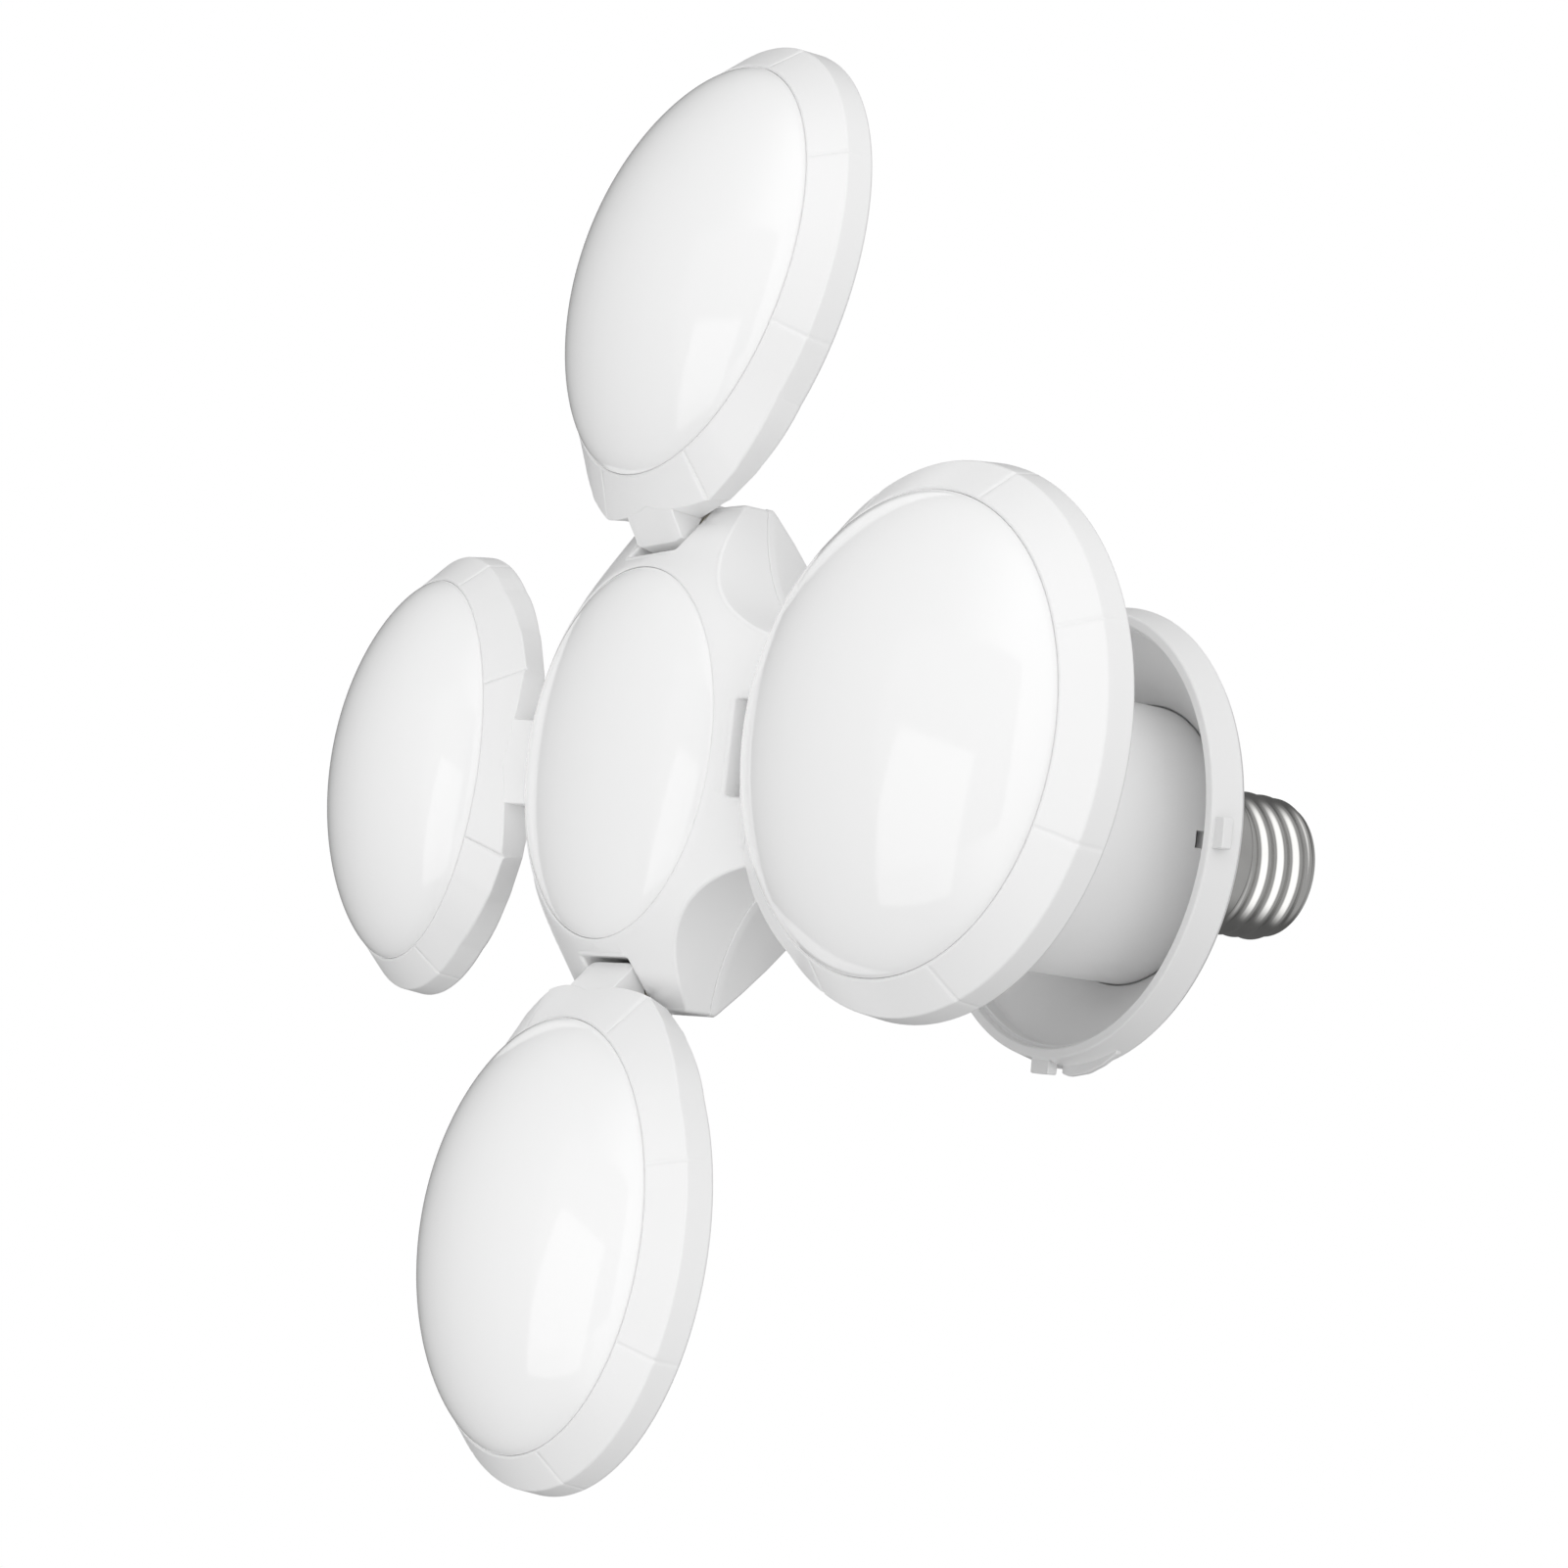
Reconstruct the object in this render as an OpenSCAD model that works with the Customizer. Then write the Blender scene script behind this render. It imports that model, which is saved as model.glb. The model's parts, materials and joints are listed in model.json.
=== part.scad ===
// Deformable ceiling light: a screw-base lamp with a lit hub and four lit petals on friction hinges.
// +Z points into the lampholder and the light leaves along -Z. The origin is on the lamp's axis,
// where the metal shell of the screw base meets the plastic neck.
// A petal's own frame has its origin on its hinge pin: +X away from the hub, +Z towards the base.

/* [Screw base] */
// Radius over the crests of the thread
thread_r = 13.2; // [12.9:0.05:13.4]
// Rise from one thread ridge to the next
thread_pitch = 3.63; // [3.3:0.01:3.9]
// Number of thread ridges
thread_turns = 4; // [2:1:6]
// Depth of the thread grooves
thread_depth = 0.9; // [0.5:0.05:1.2]
// Height of the smooth collar below the thread
collar_h = 9.1; // [7:0.1:12]
// Sheet thickness of the shell
shell_wall = 0.4; // [0.3:0.05:0.6]
// Height of the insulator above the shell
insulator_h = 2.8; // [2:0.1:5]
// Radius of the centre contact
contact_r = 4.6; // [3.5:0.1:6]
// Height of the centre contact
contact_h = 1.5; // [1:0.1:2.5]

/* [Rear dish] */
// Height from the front edge of the rim to the base plane
dish_h = 22.5; // [20:0.5:30]
// Height of the rim band
rim_h = 5.4; // [4:0.1:7]
// How far the rim band flares out towards its rear edge
rim_flare = 1.4; // [0.5:0.1:2]
// Gap between the rim's front edge and the back of a folded petal
rim_gap = 1.05; // [0.6:0.05:2]
// Width of the rim's front face
rim_face = 1.8; // [1.4:0.1:2.4]
// Height from the dish floor, at the column, to the base plane
floor_h = 8; // [7:0.25:10]
// Wall of the sleeve that locates the column
sleeve_wall = 1.6; // [1.2:0.1:2.2]
// Length of the sleeve inside the column
sleeve_h = 10; // [8:0.5:14]
// Radius of the neck just below the shell
neck_r = 14.6; // [14:0.1:16]
// Width of a rim tab
tab_w = 5; // [4:0.5:8]
// Thickness of a rim tab
tab_t = 2; // [1.4:0.1:2.6]
// How far a rim tab stands out of the rim's front edge
tab_out = 2.6; // [2:0.1:4]

/* [Column] */
// Outer radius of the column
column_r = 24.8; // [23:0.1:26]
// Wall of the column
column_wall = 2.2; // [1.8:0.1:3]
// Width of a latch window near the dish
window_w = 3; // [2:0.1:4]
// Height of a latch window
window_h = 2; // [1.5:0.1:3]

/* [Hub] */
// Width of the hub across its flats
hub_w = 80.4; // [78:0.1:90]
// Radius of the hub's diffuser
hub_lens_r = 29.9; // [26:0.1:29.9]
// Bulge of the hub's diffuser
hub_dome_h = 7; // [4:0.5:10]
// Rise of the cone front for each millimetre outwards
cone_slope = 0.7; // [0.5:0.05:0.8]
// Depth of the front housing behind the diffuser's edge
front_h = 12.8; // [12.4:0.1:15]
// Height of the rear housing's straight band
band_h = 1.2; // [0.8:0.1:3]
// Height of the rear housing's taper
taper_h = 15.5; // [12:0.5:20]
// Radius of the scallops between the petals
scallop_r = 25.4; // [22:0.1:25.5]
// Least distance from the axis to a scallop
scallop_in = 34.1; // [33.6:0.1:36]
// Width of a hinge notch
notch_w = 15; // [12:0.5:18]
// Wall of the housings
hub_wall = 2.2; // [1.6:0.1:2.6]

/* [Hinges] */
// Depth of the hinge pins behind the diffuser's edge
hinge_depth = 9.5; // [9:0.1:11]
// Distance from a hinge pin's axis out to the hub's flat
flat_inset = 3.2; // [3:0.05:4]
// Radius of a hinge pin
pin_r = 1.5; // [1:0.05:1.8]
// Length of a hinge pin
pin_len = 28.4; // [24:0.2:30]
// Radius of the barrel around the pin
knuckle_r = 4.2; // [3.5:0.05:4.4]
// Thickness of a friction washer
washer_t = 0.75; // [0.4:0.05:1.2]
// Running clearance of the pin in the barrel
pin_run = 0.05; // [0.02:0.01:0.09]

/* [Petals] */
// Width of the petal's ring around its diffuser
ring_w = 5.7; // [5:0.1:8]
// Bulge of a petal's diffuser
petal_dome_h = 12; // [8:0.5:16]
// Depth of the ring's bevel
bevel_h = 4.4; // [3.5:0.1:5.5]
// Depth of the ring's side wall
side_h = 4.43; // [4.2:0.01:6]
// Draft of the side wall
side_draft = 0.6; // [0.2:0.1:1]
// Slope of the bevel between the two shoulders
shoulder_slope = 0.58; // [0.5:0.01:0.62]
// Width of the tongue that carries the barrel
tongue_w = 14.4; // [11:0.1:17]
// Rise of the tongue's front for each millimetre towards the hub
tongue_slope = 0.75; // [0.65:0.01:0.8]
// Wall of the milky diffusers
diffuser_wall = 1.5; // [1.2:0.1:2]
// Thickness of the light boards
board_t = 1.5; // [1:0.1:1.6]
// Thickness of a back cover
cover_t = 1.5; // [1.2:0.05:1.6]
// How far the middle of a back cover is raised
cover_raise = 2; // [1:0.25:3]
// Number of cooling slots in a back cover
slot_count = 12; // [6:1:16]

/* [Pose] */
// How far the left petal is folded back
fold_left = 6; // [-4:0.5:45]
// How far the top petal is folded back
fold_top = 6.5; // [-4:0.5:45]
// How far the right petal is folded back
fold_right = 4.5; // [-4:0.5:45]
// How far the bottom petal is folded back
fold_bottom = -3; // [-4:0.5:45]

/* [Hidden] */
$fn = 96;
SIDES = ["left", "top", "right", "bottom"];
PETAL_PARTS = ["frame", "diffuser", "light_board", "light_chips", "back_cover", "cover_screws"];
BODY_NODES = ["base_shell", "base_insulator", "base_contact", "rear_dish", "column",
    "driver_board", "driver_transformer", "driver_capacitors", "driver_choke", "driver_chips",
    "hub_rear_housing", "hub_front_housing", "hub_diffuser", "hub_light_board", "hub_light_chips",
    "housing_screws", "column_screws", "hinge_pins", "friction_washers"];

eps = 0.01;
folds = [fold_left, fold_top, fold_right, fold_bottom];
// Clearances: face to face in one body, and between bodies that move
seat_gap = 0.05;
slip_gap = 0.15;
move_gap = 0.35;

// The hinge and the petal follow from the hub's width
hub_half = hub_w / 2;
hinge_r = hub_half - flat_inset;
rear_off = flat_inset + move_gap;
petal_r = hub_half - 0.2;
bevel_r = petal_r - side_draft;
petal_lens_r = petal_r - ring_w;
lip_r = petal_lens_r + 0.45;
bevel_off = rear_off + side_h;
lens_off = bevel_off + bevel_h;
groove_step = 45;
shoulder_a = petal_r - 0.5;
shoulder_u = 1.3;
shoulder_t = shoulder_a * tan(groove_step / 2);
petal_arm = shoulder_a + shoulder_u;
notch_in = hinge_r - knuckle_r - move_gap;
knuckle_w = notch_w - 2 * washer_t - 4 * seat_gap;
washer_r = knuckle_r - 1.1;

// Levels along the axis, from the base plane down to the hub's diffuser
rim_z = -dish_h;
tip_overlap = 0.3;
body_h = hinge_depth + petal_arm + petal_r - tip_overlap + dish_h;
lens_z = -body_h;
hinge_z = lens_z + hinge_depth;
parting_z = lens_z + front_h;
taper_z = parting_z + band_h;
column_z = taper_z + taper_h;
floor_z = -floor_h;

// Rear dish
dish_front_r = hinge_r + rear_off - rim_gap;
dish_r = dish_front_r + rim_flare;
column_in = column_r - column_wall;
sleeve_r = column_in - 2 * seat_gap;
wire_r = 10.6;
window_z = floor_z - 4.5;

// Light boards and the pieces that hold them
lip_h = 3.8;
flange_w = 1.55;
flange_t = 1.2;
flange_off = lens_off - lip_h;
board_off = flange_off - seat_gap * 2 - flange_t;
cover_r = petal_r - 2.15;
cover_off = rear_off + 0.1 + cover_t;
cover_screw_r = petal_lens_r + 1.65;
cover_screws_at = [45, 135, 225, 315];
screw_pilot_r = 0.8;
screw_head_r = 1.5;
screw_head_t = 0.8;

// Hub front
hub_hole_r = hub_lens_r + slip_gap;
cone_edge_z = lens_z - 0.5;
skirt_h = 4.6;
hub_board_z = lens_z + skirt_h + 0.15;
ledge_z = hub_board_z + board_t + seat_gap;
ledge_t = 1.8;
ledge_w = 4.5;
boss_r = 3.2;
boss_at_r = 26.6;
boss_pilot_r = 1.3;
well_r = 3.1;
well_z = taper_z + 2.4;
column_screw_r = 17.8;

// Distance of a scallop's axis from the lamp's axis
scallop_at = scallop_in + scallop_r;
scallop_top_r = scallop_at - column_r - 0.7;
taper_top = column_r + 2;

// ---------- shared shapes ----------

// Points of a dome from its middle to its edge; it is flatter in the middle than a ball
function dome(r, h, top, n = 20) =
    [for (i = [0:n]) let (a = 90 * i / n) [r * sin(a), top - h * pow(max(cos(a), 0), 1.43)]];

function reversed(points) = [for (i = [len(points) - 1:-1:0]) points[i]];

// A milky cap: a domed shell with a skirt that ends at skirt_z, and z pointing to the back
module domed_cap(r, h, edge_z, skirt_z) {
    rotate_extrude() polygon(concat(
        dome(r, h, edge_z),
        [[r, skirt_z], [r - diffuser_wall, skirt_z]],
        reversed(dome(r - diffuser_wall, h - 0.3, edge_z + diffuser_wall - 0.3))));
}

module ring_of(angles, radius) {
    for (a = angles) rotate([0, 0, a]) translate([radius, 0, 0]) children();
}

module at_sides() {
    for (a = [0, 90, 180, 270]) rotate([0, 0, a]) children();
}

module at_corners() {
    for (a = [45, 135, 225, 315]) rotate([0, 0, a]) children();
}

// Puts a petal's own frame on its hinge, folded back by its angle
module at_hinge(k) {
    rotate([0, 0, 90 * k]) translate([hinge_r, 0, hinge_z]) rotate([0, -folds[k], 0]) children();
}

// A bar along a hinge axis
module hinge_bar(r, length) {
    rotate([90, 0, 0]) cylinder(r = r, h = length, center = true);
}

// A cylinder from one level to another
module post(r, z0, z1) {
    translate([0, 0, z0]) cylinder(r = r, h = z1 - z0);
}

// A pan-head screw whose head lies on the level seat_z and whose shank runs down by length
module pan_screw(head_r, head_h, shank_r, length, seat_z) {
    difference() {
        union() {
            post(head_r, seat_z, seat_z + head_h);
            post(shank_r, seat_z - length, seat_z + eps);
        }
        for (a = [0, 90]) rotate([0, 0, a])
            translate([-head_r * 0.6, -0.25, seat_z + head_h * 0.45]) cube([head_r * 1.2, 0.5, head_h]);
    }
}

// ---------- screw base ----------

collar_r = thread_r + 0.05;
thread_root = thread_r - thread_depth;
thread_z = collar_h + 0.1 * thread_pitch;
shell_top = thread_z + thread_turns * thread_pitch;
lip_in = thread_root - 1.9;
ridge_steps = 10;

function ridge_r(z) = thread_root + thread_depth * (1 - cos(360 * (z - thread_z) / thread_pitch)) / 2;

function ridge_points(inset) =
    [for (i = [0:thread_turns * ridge_steps])
        let (z = thread_z + i * thread_pitch / ridge_steps) [ridge_r(z) - inset, z]];

module base_shell() {
    color("silver") rotate_extrude() polygon(concat(
        [[collar_r - shell_wall, 0], [collar_r, 0], [collar_r, collar_h]],
        ridge_points(0),
        [[thread_root - 0.4, shell_top + 0.4], [lip_in, shell_top + 0.4], [lip_in, shell_top],
            [thread_root - 0.5 - shell_wall, shell_top - 0.1]],
        reversed(ridge_points(shell_wall)),
        [[collar_r - shell_wall, collar_h]]));
}

module base_insulator() {
    bed = shell_top - 0.15;
    hub_top = shell_top + 0.4 + insulator_h;
    color("gainsboro") difference() {
        rotate_extrude() polygon([
            [0, bed - 1.6], [thread_root - 1.1, bed - 1.6], [thread_root - 1.1, bed],
            [lip_in - 0.1, bed], [lip_in - 0.1, shell_top + 0.5], [lip_in - 0.9, shell_top + 1],
            [contact_r + 0.6, hub_top], [0, hub_top]]);
        post(1.5, bed - 3, hub_top + 1);
    }
}

module base_contact() {
    hub_top = shell_top + 0.4 + insulator_h;
    color("silver") rotate_extrude() polygon([
        [0, shell_top - 2.6], [1.4, shell_top - 2.6], [1.4, hub_top], [contact_r, hub_top],
        [contact_r, hub_top + 0.4], [contact_r - 1.2, hub_top + contact_h * 0.8],
        [contact_r - 2.6, hub_top + contact_h], [0, hub_top + contact_h]]);
}

// ---------- rear dish ----------

dish_inner_r = dish_front_r - rim_face;
ledge_in = dish_inner_r - 0.8;

// One petal catch: a square tab on the rim's front and, behind it, a thin ear that sinks into the rim
module dish_catch() {
    tab_side = tab_w / 2 - 1.2;
    tab_z = rim_z + tip_overlap + 0.4;
    ear_z = tab_z + tab_t + 0.8;
    ear_t = 1.2;
    out = dish_front_r + tab_out;
    translate([dish_front_r - 1, -tab_side, tab_z]) cube([1 + tab_out, tab_w, tab_t]);
    translate([0, 0, ear_z]) linear_extrude(ear_t) polygon([[dish_front_r - 1, -tab_side - 0.2],
        [out - 0.4, -tab_side - 0.2], [out, -tab_side - 2.2], [out - 0.8, -8.5], [out - 2.4, -12.6],
        [out - 4.8, -16.8], [dish_front_r - 3.9, -14]]);
}

module rear_dish() {
    plug_r = collar_r - shell_wall - seat_gap;
    plug_h = collar_h - 0.5;
    rim_back = rim_z + rim_h;
    cone_in_z = rim_z + 4.9;
    color("white") difference() {
        union() {
            rotate_extrude() polygon([
                [dish_front_r, rim_z], [dish_r, rim_back], [dish_r - 0.7, rim_back + 0.9],
                [column_r + 0.7, floor_z + 2.2], [neck_r + 2.9, -1.8], [neck_r, -0.6], [neck_r, 0],
                [plug_r, 0], [plug_r, plug_h], [wire_r, plug_h], [wire_r, -3.4],
                [neck_r + 2, -3.8], [sleeve_r - sleeve_wall, floor_z + 0.6],
                [sleeve_r - sleeve_wall, floor_z - sleeve_h], [sleeve_r, floor_z - sleeve_h],
                [sleeve_r, floor_z], [column_r + 0.4, floor_z], [ledge_in + 0.3, cone_in_z],
                [ledge_in, rim_z + 1.6], [dish_inner_r, rim_z + 1.6], [dish_inner_r, rim_z]]);
            at_sides() dish_catch();
            at_sides() translate([sleeve_r - 0.5, -window_w / 2 + slip_gap, window_z - window_h / 2 + slip_gap])
                cube([0.5 + column_wall * 0.7, window_w - 2 * slip_gap, window_h - 2 * slip_gap]);
        }
        // Slits that let each latch hook spring inwards
        at_sides() for (s = [-1, 1]) translate([sleeve_r - sleeve_wall - 1, s * (window_w / 2 + 1) - 0.4,
            floor_z - sleeve_h - 1]) cube([sleeve_wall + 2, 0.8, sleeve_h - 0.5]);
    }
}

// ---------- column and driver ----------

board_half = column_in - 2.6;
driver_t = 1.6;
foot_t = 2.5;

module column() {
    height = floor_z - column_z;
    color("white") difference() {
        union() {
            translate([0, 0, column_z]) difference() {
                cylinder(r = column_r, h = height);
                translate([0, 0, -1]) cylinder(r = column_in, h = height + 2);
            }
            // Foot flange with its four screw bosses
            translate([0, 0, column_z]) difference() {
                union() {
                    cylinder(r = column_in + 0.5, h = foot_t);
                    at_corners() translate([column_screw_r, 0, 0]) cylinder(r = boss_r, h = 9);
                }
                translate([0, 0, -1]) cylinder(r = 13.2, h = foot_t + 2);
            }
            // Rails that hold the driver board by its two long edges
            for (s = [0, 180]) rotate([0, 0, s]) translate([board_half - 1, -2.2, column_z + foot_t - eps])
                cube([column_in - board_half + 1.4, 4.4, height - foot_t - sleeve_h - 3]);
        }
        at_corners() translate([column_screw_r, 0, 0]) post(boss_pilot_r, column_z - 1, column_z + 8);
        translate([-board_half - slip_gap, -driver_t / 2 - slip_gap, column_z + foot_t + 2])
            cube([2 * (board_half + slip_gap), driver_t + 2 * slip_gap, height]);
        at_sides() translate([column_in - 1, -window_w / 2, window_z - window_h / 2])
            cube([column_wall + 2, window_w, window_h]);
    }
}

driver_z = column_z + foot_t + 2.2;
driver_h = floor_z - sleeve_h - 4 - driver_z;

module driver_board() {
    color("seagreen") translate([-board_half, -driver_t / 2, driver_z]) cube([2 * board_half, driver_t, driver_h]);
}

// Places a driver component at a height above the board's foot, on its front (side 1) or back (side -1)
module on_driver(x, up, side) {
    translate([x, 0, driver_z + up]) rotate([-90 * side, 0, 0]) translate([0, 0, driver_t / 2]) children();
}

// The driver's components follow the board: sizes from its half width, heights from its length
core_w = 0.75 * board_half;
component_h = 0.6 * board_half;

module driver_transformer() {
    wall = 0.2 * core_w;
    color("darkorange") on_driver(0, 0.46 * driver_h, 1) union() {
        for (s = [-1, 1]) {
            translate([s * core_w * 0.4 - wall / 2, -core_w / 2, 0]) cube([wall, core_w, component_h]);
            translate([-core_w / 2, s * core_w * 0.4 - wall / 2, 0]) cube([core_w, wall, component_h]);
        }
        translate([0, 0, 0.8]) cylinder(r = core_w * 0.36, h = component_h - 1.6);
        cylinder(r = core_w * 0.2, h = component_h);
    }
}

// An upright can with a crimp near its foot and a rolled top edge
module capacitor(r) {
    rotate_extrude() polygon([[0, 0], [r, 0], [r, 2], [r - 0.4, 2.5], [r, 3], [r, component_h - 0.4],
        [r - 0.6, component_h], [r - 1, component_h - 0.3], [0, component_h - 0.3]]);
}

module driver_capacitors() {
    color("dimgray") {
        for (s = [-1, 1]) on_driver(s * 0.45 * board_half, 0.78 * driver_h, 1) capacitor(0.25 * board_half);
        on_driver(0, 0.18 * driver_h, 1) capacitor(0.2 * board_half);
    }
}

module driver_choke() {
    ring_r = 0.225 * board_half;
    color("sienna") on_driver(-0.65 * board_half, 0.18 * driver_h, 1) difference() {
        cylinder(r = ring_r, h = component_h / 2);
        translate([0, 0, -1]) cylinder(r = 0.4 * ring_r, h = component_h);
    }
}

// A flat package on the back of the board: place across and along the board, and size, as shares
module driver_chip(across, along, wide, high) {
    on_driver(across * board_half, along * driver_h, -1)
        translate([-wide * board_half / 2, -high * board_half / 2, 0])
            cube([wide * board_half, high * board_half, 0.15 * component_h]);
}

// Bridge rectifier, controller, switch and diode
module driver_chips() {
    color("black") {
        driver_chip(-0.4, 0.21, 0.33, 0.25);
        driver_chip(0.4, 0.25, 0.25, 0.2);
        driver_chip(0, 0.53, 0.2, 0.25);
        driver_chip(0.45, 0.75, 0.25, 0.13);
    }
}

// ---------- hub ----------

// The hub's plan: a square cut by four scallops
module hub_plan() {
    difference() {
        square(2 * hub_half, center = true);
        at_corners() translate([scallop_at, 0]) circle(r = scallop_r, $fn = 128);
    }
}

// The tapering back of the hub; grow is negative for the hollow inside it
module taper_body(grow, z0, z1) {
    lean = (hub_half - taper_top) / taper_h;
    scallop_lean = (scallop_top_r - scallop_r) / taper_h;
    side = [[-(hub_half + grow), z0], [hub_half + grow, z0], [hub_half + grow, taper_z],
        [hub_half + grow - lean * (z1 - taper_z), z1], [-(hub_half + grow - lean * (z1 - taper_z)), z1],
        [-(hub_half + grow), taper_z]];
    difference() {
        intersection() {
            rotate([90, 0, 0]) linear_extrude(3 * hub_half, center = true) polygon(side);
            rotate([90, 0, 90]) linear_extrude(3 * hub_half, center = true) polygon(side);
        }
        at_corners() translate([scallop_at, 0, 0]) {
            post(scallop_r - grow, z0 - 1, taper_z + eps);
            translate([0, 0, taper_z]) cylinder(r1 = scallop_r - grow,
                r2 = scallop_r - grow + scallop_lean * (z1 - taper_z + 1), h = z1 - taper_z + 1);
        }
    }
}

module hub_rear_housing() {
    top_t = 2.5;
    spigot_r = 13;
    color("white") difference() {
        union() {
            difference() {
                taper_body(0, parting_z, column_z);
                taper_body(-hub_wall, parting_z - 1, column_z - top_t);
            }
            // Solid blocks that close the notches and hold the pins down
            intersection() {
                taper_body(-eps, parting_z, column_z);
                at_sides() translate([notch_in - 2, -hub_half / 2 + 3.5, parting_z])
                    cube([hub_half, hub_half - 7, band_h + 2.5]);
            }
            intersection() {
                taper_body(-eps, parting_z, column_z);
                at_corners() translate([boss_at_r, 0, 0]) post(well_r + 1.4, parting_z, column_z);
            }
            at_sides() for (s = [-1, 1]) translate([hinge_r - pin_r + 0.1,
                s * (notch_w / 2 + 3.8) - 2.5, hinge_z + pin_r + seat_gap])
                cube([2 * pin_r - 0.2, 5, parting_z - hinge_z - pin_r + 0.5]);
            post(spigot_r, column_z - eps, column_z + 2);
        }
        post(spigot_r - 1.6, column_z - top_t - 1, column_z + 3);
        at_corners() translate([boss_at_r, 0, 0]) {
            post(1.7, parting_z - 1, column_z);
            post(well_r, well_z, column_z + 1);
        }
        at_corners() translate([column_screw_r, 0, 0]) post(1.7, column_z - top_t - 1, column_z + 1);
        // Room for the barrels
        at_sides() translate([hinge_r, 0, hinge_z]) hinge_bar(knuckle_r + 2 * move_gap, notch_w);
    }
}

module hub_front_housing() {
    cone_r = hub_half + 8;
    color("white") difference() {
        union() {
            difference() {
                intersection() {
                    translate([0, 0, lens_z - 5]) linear_extrude(front_h + 5) hub_plan();
                    rotate_extrude() polygon([
                        [0, cone_edge_z], [hub_hole_r, cone_edge_z],
                        [cone_r, cone_edge_z + cone_slope * (cone_r - hub_hole_r)],
                        [cone_r, parting_z], [0, parting_z]]);
                }
                post(hub_hole_r, lens_z - 6, ledge_z);
                post(hub_hole_r - ledge_w, lens_z - 6, parting_z + 1);
                post(hub_hole_r - 0.4, ledge_z + ledge_t, parting_z + 1);
                // Groove for the diffuser's snap bead
                rotate_extrude() polygon([[hub_hole_r - 1, lens_z + 3], [hub_hole_r + eps, lens_z + 3],
                    [hub_hole_r + 0.3, lens_z + 3.4], [hub_hole_r + 0.3, lens_z + 4],
                    [hub_hole_r - 1, lens_z + 4.4]]);
            }
            at_corners() translate([boss_at_r, 0, 0]) post(boss_r, ledge_z + 0.2, parting_z - seat_gap);
        }
        at_corners() translate([boss_at_r, 0, 0]) post(boss_pilot_r, ledge_z + 1, parting_z + 1);
        at_sides() {
            // Notch for the petal's tongue
            translate([notch_in, -notch_w / 2, lens_z - 6]) cube([hub_half, notch_w, front_h + 7]);
            // Pin seats, open to the rear so that the pins drop in
            translate([hinge_r, 0, hinge_z]) {
                hinge_bar(pin_r + seat_gap, pin_len + 0.4);
                translate([-pin_r - seat_gap, -pin_len / 2 - 0.2, 0])
                    cube([2 * (pin_r + seat_gap), pin_len + 0.4, front_h]);
                // Rounded nose of the lugs, which the petal's shoulders swing around
                difference() {
                    translate([0.5, -hub_half / 2, -hub_half / 2]) cube([6, hub_half, hub_half / 2]);
                    hinge_bar(flat_inset + 0.1, hub_half + 2);
                }
            }
        }
    }
}

module hub_diffuser() {
    skirt_z = lens_z + skirt_h;
    color("whitesmoke") union() {
        domed_cap(hub_lens_r, hub_dome_h, lens_z, skirt_z);
        rotate_extrude() polygon([[hub_lens_r - 0.5, lens_z + 3.2], [hub_lens_r, lens_z + 3.2],
            [hub_lens_r + 0.3, lens_z + 3.55], [hub_lens_r + 0.3, lens_z + 3.85],
            [hub_lens_r, lens_z + 4.2], [hub_lens_r - 0.5, lens_z + 4.2]]);
    }
}

module hub_light_board() {
    color("lightgray") difference() {
        post(hub_lens_r - 0.1, hub_board_z, hub_board_z + board_t);
        post(2.5, hub_board_z - 1, hub_board_z + board_t + 1);
    }
}

// A light-emitting chip, which stands on the level z0 and faces -Z
module light_chip(z0) {
    translate([-1.75, -1.4, z0 - 0.8]) cube([3.5, 2.8, 0.8]);
}

module hub_light_chips() {
    color("khaki") {
        ring_of([0:30:330], 0.7 * hub_lens_r) light_chip(hub_board_z);
        ring_of([0:60:300], 0.37 * hub_lens_r) light_chip(hub_board_z);
    }
}

// Four screws in the wells of the rear housing
module housing_screws() {
    color("silver") at_corners() translate([boss_at_r, 0, 0])
        pan_screw(2.7, 1.8, boss_pilot_r - seat_gap, well_z - ledge_z - 2, well_z);
}

// Four screws from inside the hub up into the column's foot
module column_screws() {
    color("silver") at_corners() translate([column_screw_r, 0, column_z - 2.5]) mirror([0, 0, 1])
        pan_screw(2.7, 1.8, boss_pilot_r - seat_gap, 9.5, 0);
}

module hinge_pins() {
    color("silver") at_sides() translate([hinge_r, 0, hinge_z]) hinge_bar(pin_r, pin_len);
}

module friction_washers() {
    color("goldenrod") at_sides() for (s = [-1, 1]) difference() {
        translate([hinge_r, s * (knuckle_w / 2 + seat_gap + washer_t / 2), hinge_z])
            hinge_bar(washer_r, washer_t);
        translate([hinge_r, 0, hinge_z]) hinge_bar(pin_r + seat_gap, 2 * notch_w);
    }
}

// ---------- petals ----------

function polar(r, a) = [r * cos(a), r * sin(a)];

// The ring's corner on one side: it runs from the corner of the shoulder, a little full, into the ring
module shoulder_wedge() {
    half = groove_step / 2;
    corner_r = norm([shoulder_a, shoulder_t]);
    full_at = half + acos(bevel_r / corner_r) / 2;
    full_r = bevel_r + 1.4;
    meet = full_at + acos(bevel_r / full_r);
    front = -lens_off + 0.05;
    corner_z = front + shoulder_slope * (corner_r - lip_r);
    hull() {
        translate([0, 0, corner_z]) linear_extrude(-rear_off - corner_z)
            polygon([[-shoulder_a, shoulder_t], polar(full_r, 180 - full_at), polar(bevel_r, 180 - meet),
                polar(lip_r - 1, 180 - meet), polar(lip_r - 1, 180 - half)]);
        translate([0, 0, front]) linear_extrude(0.1)
            polygon([for (a = [half:(meet - half) / 4:meet]) polar(lip_r, 180 - a),
                polar(lip_r - 1, 180 - meet), polar(lip_r - 1, 180 - half)]);
    }
}

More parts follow.
